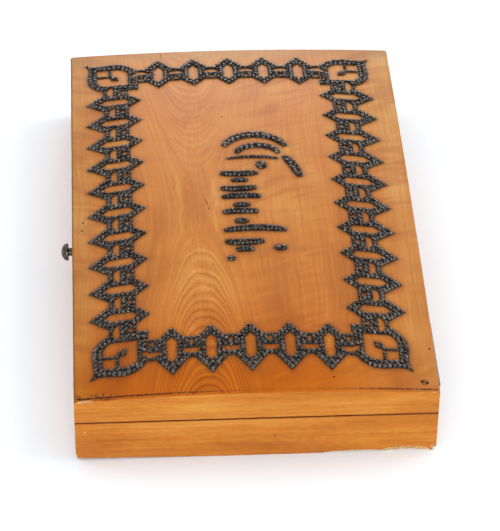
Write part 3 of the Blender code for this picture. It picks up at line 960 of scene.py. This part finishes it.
# %% Outlines of the steel strips
STRIP_MIDDLE = 0.65 * MM
WELD = 0.002 * MM


def strip_outlines(node_name):
    """The closed outlines of a strip seen from above, in millimetres, with the steel on the left."""
    shape = bmesh.new()
    shape.from_mesh(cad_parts[node_name].data)
    bmesh.ops.remove_doubles(shape, verts=shape.verts, dist=WELD)
    shape.verts.ensure_lookup_table()
    shape.verts.index_update()

    def on_top(face):
        return all(vert.co.z - lid_top(vert.co.x, vert.co.y) > STRIP_MIDDLE for vert in face.verts)

    following = {}
    for edge in shape.edges:
        upper = [face for face in edge.link_faces if on_top(face)]
        if len(upper) != 1:
            continue
        for loop in upper[0].loops:
            if loop.edge == edge:
                following[loop.vert.index] = loop.link_loop_next.vert.index
    outlines = []
    while following:
        start = min(following)
        chain, at = [], start
        while at in following:
            chain.append([shape.verts[at].co.x / MM, shape.verts[at].co.y / MM])
            at = following.pop(at)
        outlines.append(np.array(chain))
    shape.free()
    return outlines


STEEL_NODES = [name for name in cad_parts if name.startswith(("border_", "corner_", "stroke_"))]
OUTLINES = {name: strip_outlines(name) for name in STEEL_NODES}
print("strips:", len(OUTLINES), "outlines:", sum(len(outlines) for outlines in OUTLINES.values()))


# %% Distance to the steel
def edge_distance(points, outlines):
    """How far each point lies from the nearest edge, negative where it isn't on the steel."""
    nearest = np.full(len(points), 1e9)
    inside = np.zeros(len(points), dtype=bool)
    for outline in outlines:
        ends = np.roll(outline, -1, axis=0)
        for start, end in zip(outline, ends):
            run = end - start
            share = np.clip(((points - start) @ run) / (run @ run), 0, 1)
            gap = np.linalg.norm(points - start - share[:, None] * run, axis=1)
            nearest = np.minimum(nearest, gap)
            if start[1] != end[1]:
                crosses = (start[1] > points[:, 1]) != (end[1] > points[:, 1])
                at = start[0] + (points[:, 1] - start[1]) * run[0] / run[1]
                inside ^= crosses & (points[:, 0] < at)
    return np.where(inside, nearest, -nearest)


# How far the dirt and painted shade reach from the steel, in millimetres
STEEL_SHADE_AND_DIRT_REACH = 0.65


def corners_of(outlines):
    """The lowest and the highest corner of the area that the outlines take up."""
    points = np.vstack(outlines)
    return points.min(axis=0), points.max(axis=0)


def steel_shade_and_dirt_at(points):
    """How dark the wood is at each point, from dirt and painted shade: 1 at the steel, fading out within a
    few millimetres.
    """
    steel_shade_and_dirt = np.zeros(len(points))
    for outlines in OUTLINES.values():
        low, high = corners_of(outlines)
        low, high = low - 4 * STEEL_SHADE_AND_DIRT_REACH, high + 4 * STEEL_SHADE_AND_DIRT_REACH
        close = np.all((points > low) & (points < high), axis=1)
        away = np.maximum(-edge_distance(points[close], outlines), 0.0)
        steel_shade_and_dirt[close] = np.maximum(steel_shade_and_dirt[close], np.exp(-away / STEEL_SHADE_AND_DIRT_REACH))
    return steel_shade_and_dirt


print("dirt 1 mm off the steel:", round(math.exp(-1 / STEEL_SHADE_AND_DIRT_REACH), 2))

# %% The lid's top board
CELL = 0.9 * MM
EDGE_ROW = 0.1 * MM
board_x, board_y = HALF_X - LIP - HAIRLINE, HALF_Y - LIP - HAIRLINE
clean_selection()
bpy.ops.mesh.primitive_grid_add(
    x_subdivisions=round(2 * board_x / CELL),
    y_subdivisions=round(2 * board_y / CELL),
    size=1.0,
    location=(0, 0, 0),
)
lid_board = bpy.context.object
lid_board.scale = (2 * board_x, 2 * board_y, 1.0)
apply_place()


def crown(co):
    """Lifts a point of the flat grid to the crowned surface. The near row stands back by the gap."""
    if co.y < -board_y + EDGE_ROW:
        co.y = -HALF_Y + LIP + joint_gap(co.x)
    co.z = lid_top(co.x, co.y)
    return co


move_verts(lid_board, crown)
edit(lid_board)
select_whole()
bpy.ops.mesh.extrude_region_move(TRANSFORM_OT_translate={"value": (0, 0, -PANEL)})
select_whole()
bpy.ops.mesh.normals_make_consistent(inside=False)
leave_edit()
# How close the steel is at each point of the board, for the dirt and painted shade round it
spots = np.array([vert.co[:2] for vert in lid_board.data.vertices]) / MM
steel_shade_and_dirt = lid_board.data.attributes.new("steel_shade_and_dirt", "FLOAT", "POINT")
steel_shade_and_dirt.data.foreach_set("value", steel_shade_and_dirt_at(spots))
for material in (FIGURED_WOOD, INNER_WOOD, PIT_DARK):
    lid_board.data.materials.append(material)
# The board's near side, inside the joint, takes the dark pit finish as painted shade
for polygon in lid_board.data.polygons:
    underside, side = polygon.normal.z < -0.5, abs(polygon.normal.z) < 0.5
    shaded_joint_wall = side and polygon.center.y < -board_y + MM
    polygon.material_index = 1 if underside else 2 if shaded_joint_wall else 0
print("top board:", len(lid_board.data.polygons), "faces")

# %% [markdown]
# Small marks on the top board are cut as they are on the real lid: two pits at the left edge and one
# at the right, a short shake near the middle where the grain turns, a fine crack at the far end, a
# few dots, and the pair of small holes at the near right corner. Each is a stretched ball that the
# Boolean takes away.

# %% Pits and cracks in the top board
PITS = (
    (-56.1, -8.2, 0.35, 0.50, 0),
    (-56.5, -12.4, 0.35, 0.45, 0),
    (-13.0, -6.0, 0.14, 2.3, 15),
    (-12.2, -9.6, 0.12, 1.2, -10),
    (24.0, -75.0, 0.22, 0.30, 0),
    (24.0, -79.5, 0.25, 0.35, 0),
    (25.3, -89.6, 0.35, 0.30, 0),
    (-5.0, 45.0, 0.30, 0.35, 0),
    (-26.1, 92.7, 0.13, 1.5, -8),
    (-25.9, 90.3, 0.12, 1.6, 10),
    (54.4, -90.5, 0.55, 0.55, 0),
    (56.0, -91.0, 0.50, 0.60, 0),
    (58.3, -75.3, 0.35, 0.45, 0),
)
PIT_DEPTH = 1.6
DEEPEST_PIT = 0.5
clean_selection()
balls = []
for x, y, half_width, half_length, turn in PITS:
    place = (x * MM, y * MM, lid_top(x * MM, y * MM))
    bpy.ops.mesh.primitive_ico_sphere_add(subdivisions=2, radius=1.0, location=place)
    ball = bpy.context.object
    depth = min(half_width * PIT_DEPTH, DEEPEST_PIT)
    ball.scale = (half_width * MM, half_length * MM, depth * MM)
    ball.rotation_euler = (0, 0, math.radians(turn))
    apply_place()
    ball.data.materials.append(PIT_DARK)
    balls.append(ball)
join(balls)
carve(lid_board, balls[0])
smooth(lid_board)
settle(lid_board, "lid_board", "lid", "satinwood", "lid_panel")
print("top board with marks:", len(lid_board.data.polygons), "faces")

# %% [markdown]
# The board lies on four rails, which make the lid's sides. Each is a block whose top is draped under
# the board. Two cuts with Bisect mark a narrow lip along its outer edge, and Extrude raises that lip
# to the board's own surface, so that the joint shows as a fine line just inside the edge.

# %% The rails under the lid's edge
LID_RAILS = {
    "lid_near_edge": ("lid_near_rail", (-HALF_X, -HALF_Y), (HALF_X, -INNER_Y), LID_END_WOOD),
    "lid_far_edge": ("lid_far_rail", (-HALF_X, INNER_Y), (HALF_X, HALF_Y), LID_END_WOOD),
    "lid_front_edge": ("lid_front_rail", (-HALF_X, -SIDE_REACH), (-INNER_X, SIDE_REACH), SIDE_WOOD),
    "lid_back_edge": ("lid_back_rail", (INNER_X, -SIDE_REACH), (HALF_X, SIDE_REACH), SIDE_WOOD),
}
RAIL_BLOCK_TOP = 21.0 * MM


def new_rail(low, high):
    """A rail whose top follows the crown, with a lip round the outside that the board lies behind."""
    rail = new_board((*low, SEAM_HEIGHT), (*high, RAIL_BLOCK_TOP))
    edit(rail)
    for sign in (-1, 1):
        lip_x, lip_y = sign * (HALF_X - LIP), sign * (HALF_Y - LIP)
        for place, normal in (((lip_x, 0, 0), (1, 0, 0)), ((0, lip_y, 0), (0, 1, 0))):
            select_whole()
            bpy.ops.mesh.bisect(plane_co=place, plane_no=normal)
    leave_edit()

    def drape(co):
        if co.z > RAIL_BLOCK_TOP - TOUCH:
            co.z = lid_top(co.x, co.y) - PANEL - HAIRLINE
        return co

    move_verts(rail, drape)
    edit(rail)
    pick_faces(
        rail,
        lambda middle, normal: normal.z > 0.7
        and (abs(middle.x) > HALF_X - LIP or abs(middle.y) > HALF_Y - LIP),
    )
    bpy.ops.mesh.extrude_region_move(TRANSFORM_OT_translate={"value": (0, 0, PANEL + HAIRLINE)})
    leave_edit()
    return rail


print("lip", round(LIP / MM, 1), "mm wide")

# %% Finishing the rails
RAIL_ARRIS_ROUND = 0.3 * MM
LID_CHIPS = (
    ((-59.6, -95.2, 26.2), (-52.8, -95.2, 26.8), 0.85, 0.3, CHIPPED_WOOD),
    ((56.0, -95.2, 26.4), (59.4, -95.2, 26.2), 0.55, 0.3, CHIPPED_WOOD),
)
for name, (node, low, high, material) in LID_RAILS.items():
    rail = new_rail(low, high)
    bow_top(rail, 1)
    round_board(rail, RAIL_ARRIS_ROUND)
    wear(rail)
    rail.data.materials.append(material)
    rail.data.materials.append(FIGURED_WOOD)
    for polygon in rail.data.polygons:
        if polygon.normal.z > 0.5 and polygon.center.z > RAIL_BLOCK_TOP:
            polygon.material_index = 1
    if name == "lid_back_edge":
        cut_hinge_recesses(rail)
    if name == "lid_near_edge":
        for damage in LID_CHIPS:
            chip(rail, *damage)
    smooth(rail, BOARD_SMOOTH)
    settle(rail, name, "lid", "satinwood", node)
    print(name, len(rail.data.polygons), "faces")

# %% [markdown]
# ## Steel studs
#
# A cut steel stud is a short round head with flat facets ground round its edge. One is modelled: an
# eight-sided cylinder whose upper edge is bevelled in two steps. It leaves a small flat table and two
# rings of facets. The flat facets are what makes it glint, so it isn't shaded smooth. The pattern
# takes thousands, so the head is kept to a few dozen faces and copied into one mesh for each run.

# %% One stud
STUD_SIDES = 8
UPPER_RING = 0.9
STUD_BEVEL = 0.62
clean_selection()
bpy.ops.mesh.primitive_cylinder_add(vertices=STUD_SIDES, radius=1.0, depth=1.0, location=(0, 0, 0.5))
stud = bpy.context.object
apply_place()
edit(stud)
pick_edges(stud, lambda start, end, edge: min(start.z, end.z) > UPPER_RING)
bpy.ops.mesh.bevel(offset=STUD_BEVEL, segments=2, affect="EDGES", profile=0.5)
select_whole()
bpy.ops.mesh.quads_convert_to_tris()
leave_edit()
STUD_POINTS = np.array([vert.co[:] for vert in stud.data.vertices])
STUD_FACES = np.array([polygon.vertices[:] for polygon in stud.data.polygons])
bpy.data.objects.remove(stud, do_unlink=True)
print("one stud:", len(STUD_POINTS), "points,", len(STUD_FACES), "triangles")

# %% [markdown]
# Where do the studs go? They follow the outline of each strip in rows, one stud at every corner and
# the rest evenly spaced. So the outline is moved inwards by half a stud for the first row, by one
# and a half for the next, and so on. A stud is only set where there is room. Smaller studs then take
# the spaces between the rows, and the smallest stand in the pointed tips of the links.

# %% Rows of places for studs
SHARP_TURN = math.radians(28)
LEAST_REACH = 0.4


def moved_in(outline, distance):
    """The outline moved into the steel, and which of its corners are sharp."""
    before, after = np.roll(outline, 1, axis=0), np.roll(outline, -1, axis=0)
    first, second = outline - before, after - outline
    first /= np.linalg.norm(first, axis=1)[:, None]
    second /= np.linalg.norm(second, axis=1)[:, None]
    turn = np.stack([-first[:, 1] - second[:, 1], first[:, 0] + second[:, 0]], axis=1)
    turn /= np.maximum(np.linalg.norm(turn, axis=1), 0.01)[:, None]
    reach = np.maximum((turn * np.stack([-second[:, 1], second[:, 0]], axis=1)).sum(axis=1), LEAST_REACH)
    sharp = (first * second).sum(axis=1) < math.cos(SHARP_TURN)
    return outline + turn * (distance / reach)[:, None], sharp


def spaced(outline, sharp, pitch):
    """Points along a closed outline, one at each sharp corner and evenly between them."""
    start = int(np.argmax(sharp)) if sharp.any() else 0
    points = np.roll(outline, -start, axis=0)
    corners = np.roll(sharp, -start)
    points = np.vstack([points, points[:1]])
    stops = [0, *[i for i in range(1, len(corners)) if corners[i]], len(points) - 1]
    places = []
    for low, high in zip(stops[:-1], stops[1:]):
        run = points[low : high + 1]
        steps = np.linalg.norm(np.diff(run, axis=0), axis=1)
        way = np.concatenate([[0.0], np.cumsum(steps)])
        count = max(int(round(way[-1] / pitch)), 1)
        at = np.arange(count) * way[-1] / count
        places.append(np.stack([np.interp(at, way, run[:, 0]), np.interp(at, way, run[:, 1])], axis=1))
    return np.vstack(places)


print("row helpers ready")

# %% Filling the spaces
FILL_CLOSENESS = 0.92
PACKED_CLOSENESS = 0.96
PACKED_STEP = 0.15
EDGE_SHARE = 1.06


def grid_over(outlines, step):
    low, high = corners_of(outlines)
    across, along = np.arange(low[0], high[0], step), np.arange(low[1], high[1], step)
    return np.stack(np.meshgrid(across, along), axis=-1).reshape(-1, 2)


def room_beside(studs, grid, room):
    """The room that is left at each place of the grid beside studs that are already set."""
    for x, y, size in studs:
        room = np.minimum(room, np.hypot(grid[:, 0] - x, grid[:, 1] - y) - size * FILL_CLOSENESS)
    return room


def largest_first(grid, room, smallest):
    """Sets the largest stud that fits, then the next, until there is no room left."""
    chosen = []
    while room.max() > smallest:
        best = int(np.argmax(room))
        chosen.append((*grid[best], room[best]))
        away = np.linalg.norm(grid - grid[best], axis=1)
        room = np.minimum(room, away - room[best] * PACKED_CLOSENESS)
    return chosen


def packed_places(outlines, smallest, largest):
    grid = grid_over(outlines, PACKED_STEP)
    room = np.minimum(edge_distance(grid, outlines) * EDGE_SHARE, largest)
    return largest_first(grid, room, smallest)


print("packing helpers ready")

# %% Choosing the places
BORDER_STUD = 0.84
BORDER_PITCH = 1.72
ROW_OFFSETS = (0.84, 2.52)
LEAST_SHARE = 0.72
ROW_CLOSENESS = 0.88
FILL_STEP = 0.2
SMALLEST_STUD = 0.42
TIP_STUD = 0.55
TIP_SMALLEST = 0.36
TIP_SHARE = 1.7


def row_places(outlines, radius, pitch, rows):
    """Studs in rows along the outlines, then smaller ones in every space that is left."""
    wanted = []
    for offset in rows:
        for outline in outlines:
            line, sharp = moved_in(outline, offset)
            wanted.append(spaced(line, sharp, pitch))
    wanted = np.vstack(wanted)
    sizes = np.minimum(edge_distance(wanted, outlines) * EDGE_SHARE, radius)
    chosen = np.empty((0, 3))
    for (x, y), size in zip(wanted, sizes):
        if size < radius * LEAST_SHARE:
            continue
        away = np.hypot(chosen[:, 0] - x, chosen[:, 1] - y) - (chosen[:, 2] + size) * ROW_CLOSENESS
        if not len(chosen) or away.min() > 0:
            chosen = np.vstack([chosen, (x, y, size)])
    grid = grid_over(outlines, FILL_STEP)
    edge = edge_distance(grid, outlines)
    room = room_beside(chosen, grid, np.minimum(edge * EDGE_SHARE, radius))
    small = largest_first(grid, room, SMALLEST_STUD)
    room = room_beside([*chosen, *small], grid, np.minimum(edge * TIP_SHARE, TIP_STUD))
    return [*chosen, *small, *largest_first(grid, room, TIP_SMALLEST)]


example = row_places(OUTLINES["corner_near_front"], BORDER_STUD, BORDER_PITCH, ROW_OFFSETS)
print("studs in one corner:", len(example))

# %% [markdown]
# Each run of studs becomes one piece. Every head is turned and leaned a little by chance, so that
# the facets glint one by one. Under the heads lies a thin dark bed of old polish and dirt, which is
# also painted shade in the gaps. It is a copy of the solid strip, merged and then pressed flat on
# the wood.

# %% Setting the studs, with dirt and painted shade between them
STUD_HEIGHT = 0.86
HEIGHT_SPREAD = 0.1
STUD_LEAN = 0.10
STUD_SUNK = 0.05
BED_LOW = -0.05
BED_HIGH = 0.18


def stud_piece(node_name, places):
    """One mesh of studs on the lid, over a thin bed in the outline of the strip that it replaces."""
    points, faces = [], []
    for count, (x, y, radius) in enumerate(places):
        turn = dice.uniform(0, math.pi / 4)
        lean_x, lean_y = dice.gauss(0, STUD_LEAN), dice.gauss(0, STUD_LEAN)
        tall = STUD_HEIGHT * (1 - HEIGHT_SPREAD + HEIGHT_SPREAD * dice.random())
        tall *= min(radius / BORDER_STUD, 1.0) ** 0.5
        local = STUD_POINTS * (radius, radius, tall + STUD_SUNK)
        along = local[:, 0] * math.cos(turn) - local[:, 1] * math.sin(turn)
        across = local[:, 0] * math.sin(turn) + local[:, 1] * math.cos(turn)
        rise = local[:, 2] - STUD_SUNK + lean_x * along + lean_y * across
        spot_x, spot_y = (x + along) * MM, (y + across) * MM
        points.append(np.stack([spot_x, spot_y, lid_top(spot_x, spot_y) + rise * MM], axis=1))
        faces.append(STUD_FACES + count * len(STUD_POINTS))
    mesh = bpy.data.meshes.new("studs_" + node_name)
    mesh.from_pydata(np.vstack(points).tolist(), [], np.vstack(faces).tolist())
    mesh.materials.append(STUD_STEEL)
    mesh.materials.append(STUD_BED_DIRT_AND_SHADE)
    studs = add_object(mesh.name, mesh)
    # The dark bed: dirt, and painted shade in the gaps between the heads
    bed = add_object("bed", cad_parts[node_name].data.copy())
    bed.data.materials.clear()
    bed.data.materials.append(STUD_BED_DIRT_AND_SHADE)
    edit(bed)
    select_whole()
    bpy.ops.mesh.remove_doubles(threshold=WELD)
    leave_edit()

    def lower(co):
        top = lid_top(co.x, co.y)
        co.z = top + (BED_HIGH if co.z - top > STRIP_MIDDLE else BED_LOW) * MM
        return co

    move_verts(bed, lower)
    join([studs, bed])
    settle(studs, "studs_" + node_name, "lid", "cut_steel", node_name)


print("stud maker ready")

# %% The border and its corners
total = 0
for node_name in [name for name in STEEL_NODES if not name.startswith("stroke_")]:
    places = row_places(OUTLINES[node_name], BORDER_STUD, BORDER_PITCH, ROW_OFFSETS)
    stud_piece(node_name, places)
    total += len(places)
    print(node_name, len(places), "studs")
print("border studs in all:", total)

# %% [markdown]
# In the middle of the real lid the studs are of mixed sizes. Here the strokes are plain bars, arches
# and dots. The bars take rows of small studs. In the arches and dots the studs are packed by size:
# at each turn the largest stud that still fits is set.

# %% The strokes and dots
STROKE_SMALLEST = 0.40
STROKE_LARGEST = 1.05
STROKE_STUD = 0.70
STROKE_PITCH = 1.45
STROKE_ROWS = (0.72,)
for node_name in [name for name in STEEL_NODES if name.startswith("stroke_")]:
    if "bar" in node_name:
        places = row_places(OUTLINES[node_name], STROKE_STUD, STROKE_PITCH, STROKE_ROWS)
    else:
        places = packed_places(OUTLINES[node_name], STROKE_SMALLEST, STROKE_LARGEST)
    stud_piece(node_name, places)
    total += len(places)
print("studs in all:", total)

# %% [markdown]
# ## The button
#
# The button in the front wall is turned steel: a short stem and a domed head that is undercut
# towards the wall. A turned shape is a profile spun about its axis. The profile is drawn from a list
# of points: one point is extruded from place to place, and then the chain is spun.

# %% The turned button
BUTTON_PROFILE = (
    (0.0, 4.25), (0.7, 4.2), (1.4, 4.0), (2.1, 3.68), (2.7, 3.2), (3.05, 2.6), (3.15, 2.1),
    (3.1, 1.8), (2.9, 1.72), (2.4, 1.95), (1.9, 2.15), (1.45, 2.2), (1.45, 0.3), (1.6, 0.05),
    (1.45, -0.2), (1.45, -2.8), (0.0, -2.8),
)
SPIN_STEPS = 36
SPIN_WELD = 0.005 * MM
BUTTON_SMOOTH = 40
clean_selection()
bpy.ops.mesh.primitive_plane_add(size=MM, location=(0, 0, 0))
button = bpy.context.object
edit(button)
bpy.ops.mesh.select_mode(type="VERT")
select_whole()
bpy.ops.mesh.merge(type="CENTER")
start = Vector((0, 0, 0))
for radius, height in BUTTON_PROFILE:
    target = Vector((-HALF_X - height * MM, radius * MM, BUTTON_HEIGHT))
    bpy.ops.mesh.extrude_region_move(TRANSFORM_OT_translate={"value": target - start})
    start = target
leave_edit()
shape = bmesh.new()
shape.from_mesh(button.data)
shape.verts.ensure_lookup_table()
stray = [vert for vert in shape.verts if vert.co.length < TOUCH]
bmesh.ops.delete(shape, geom=stray, context="VERTS")
shape.to_mesh(button.data)
shape.free()
edit(button)
select_whole()
bpy.ops.mesh.spin(steps=SPIN_STEPS, angle=FULL_TURN, center=(0, 0, BUTTON_HEIGHT), axis=(1, 0, 0))
select_whole()
bpy.ops.mesh.remove_doubles(threshold=SPIN_WELD)
bpy.ops.mesh.normals_make_consistent(inside=False)
leave_edit()
smooth(button, BUTTON_SMOOTH)
button.data.materials.append(STUD_STEEL)
settle(button, "turned_button", "base", "cut_steel", "button")
print("button:", len(button.data.polygons), "faces")

# %% [markdown]
# ## The hinges
#
# Two small butt hinges join the back walls. Only the barrel shows when the box is shut. Each leaf is
# a thin plate let into the seam, and its knuckles are lengths of rod about the pivot, joined to the
# plate by a strip. The outer knuckles and the pin belong to the base, the middle one to the lid.

# %% Rods about the pivot
THIRD = HINGE_LENGTH / 3
PLAY = 0.08 * MM
PIN_RADIUS = 0.5 * MM
BORE_RADIUS = 0.7 * MM
PIN_SIDES = 16
RIM_ANGLE = 1.2
RIM_ROUND = 0.12 * MM


def hinge_rod(low_y, high_y, radius, sides=28):
    """A rod along the pivot, with the arrises at its ends taken off."""
    clean_selection()
    bpy.ops.mesh.primitive_cylinder_add(
        vertices=sides,
        radius=radius,
        depth=high_y - low_y,
        location=(PIVOT_X, (low_y + high_y) / 2, SEAM_HEIGHT),
        rotation=(math.pi / 2, 0, 0),
    )
    rod = bpy.context.object
    apply_place()
    edit(rod)
    pick_edges(rod, lambda start, end, edge: edge.calc_face_angle() > RIM_ANGLE)
    bpy.ops.mesh.bevel(offset=RIM_ROUND, segments=1, affect="EDGES")
    leave_edit()
    return rod


print("knuckle length:", round(THIRD / MM, 1), "mm")

# %% Hinge leaves
TAB_OVERLAP = 0.2 * MM


def unite(obj, other):
    apply_modifier(obj, "BOOLEAN", operation="UNION", solver="EXACT", object=other)
    bpy.data.objects.remove(other, do_unlink=True)


def make_leaf(end, body, knuckles, pin):
    """A leaf with its knuckles, which hold the pin or are bored for it."""
    middle = HINGE_MIDDLES[end]
    low_y, high_y = middle - HINGE_LENGTH / 2, middle + HINGE_LENGTH / 2
    low_z = SEAM_HEIGHT + LEAF_LIFT if body == "lid" else SEAM_HEIGHT - LEAF_LIFT - LEAF_THICKNESS
    high_z = low_z + LEAF_THICKNESS
    leaf = block((LEAF_EDGE - LEAF_WIDTH, low_y, low_z), (LEAF_EDGE, high_y, high_z), HINGE_STEEL)
    for start, stop in knuckles:
        tab_low, tab_high = (LEAF_EDGE - TAB_OVERLAP, low_y + start, low_z), (PIVOT_X, low_y + stop, high_z)
        unite(leaf, block(tab_low, tab_high, HINGE_STEEL))
        unite(leaf, hinge_rod(low_y + start, low_y + stop, KNUCKLE_RADIUS))
    if pin:
        unite(leaf, hinge_rod(low_y + THIRD / 2, high_y - THIRD / 2, PIN_RADIUS, PIN_SIDES))
    else:
        carve(leaf, hinge_rod(low_y, high_y, BORE_RADIUS, PIN_SIDES))
    smooth(leaf, BOARD_SMOOTH)
    settle(leaf, f"{end}_hinge_{body}_side", body, "hinge_steel", f"hinge_{end}_{body}_leaf")
    return leaf


for end in HINGE_MIDDLES:
    make_leaf(end, "base", ((0, THIRD), (2 * THIRD, HINGE_LENGTH)), True)
    leaf = make_leaf(end, "lid", ((THIRD + PLAY, 2 * THIRD - PLAY),), False)
    print(end, "hinge, lid side:", len(leaf.data.polygons), "faces")

# %% [markdown]
# ## Floor and light
#
# The photograph has a plain white sweep and broad soft light. Most of the light comes from large
# soft panels, and a low panel behind the box puts the pale sheen on the far half of the lid, where
# the crown tips away from the camera. The panels themselves are hidden from the camera, so other
# views see only the plain surroundings.

# %% The floor
clean_selection()
bpy.ops.mesh.primitive_plane_add(size=6.0, location=(0, 0, 0))
floor = bpy.context.object
floor.name = "studio_floor"
floor_finish = Finish("studio_floor")
paper = floor_finish.noise(floor_finish.place, 0.002, detail=1.0)
paper_colour = floor_finish.ramp(paper, [(0.0, (0.85, 0.91, 0.95)), (1.0, (0.87, 0.93, 0.97))])
floor.data.materials.append(floor_finish.close({"Base Color": paper_colour}, {"Roughness": 0.8}))
print("floor ready")

# %% Lights
LIGHTS = {
    "right_panel": ((1.2, 0.10, 1.2), 1.0, 9.5),
    "front_panel": ((-0.2, -2.0, 0.65), 1.2, 21.0),
    "left_panel": ((-1.5, 0.4, 1.1), 1.0, 6.0),
    "back_panel": ((0.1, 2.6, 0.75), 1.2, 20.0),
}
for name, (place, size, power) in LIGHTS.items():
    lamp = bpy.data.lights.new(name, "AREA")
    lamp.shape = "SQUARE"
    lamp.size = size
    lamp.energy = power
    holder = add_object(name, lamp)
    holder.location = place
    holder.rotation_euler = (-Vector(place)).to_track_quat("-Z", "Y").to_euler()
    holder.visible_camera = False

world = bpy.data.worlds.new("studio")
bpy.context.scene.world = world
world.use_nodes = True
background = world.node_tree.nodes["Background"]
background.inputs["Color"].default_value = (0.97, 0.98, 1.0, 1.0)
background.inputs["Strength"].default_value = 0.85
bpy.context.scene.view_settings.view_transform = "Standard"
print("lights:", list(LIGHTS))
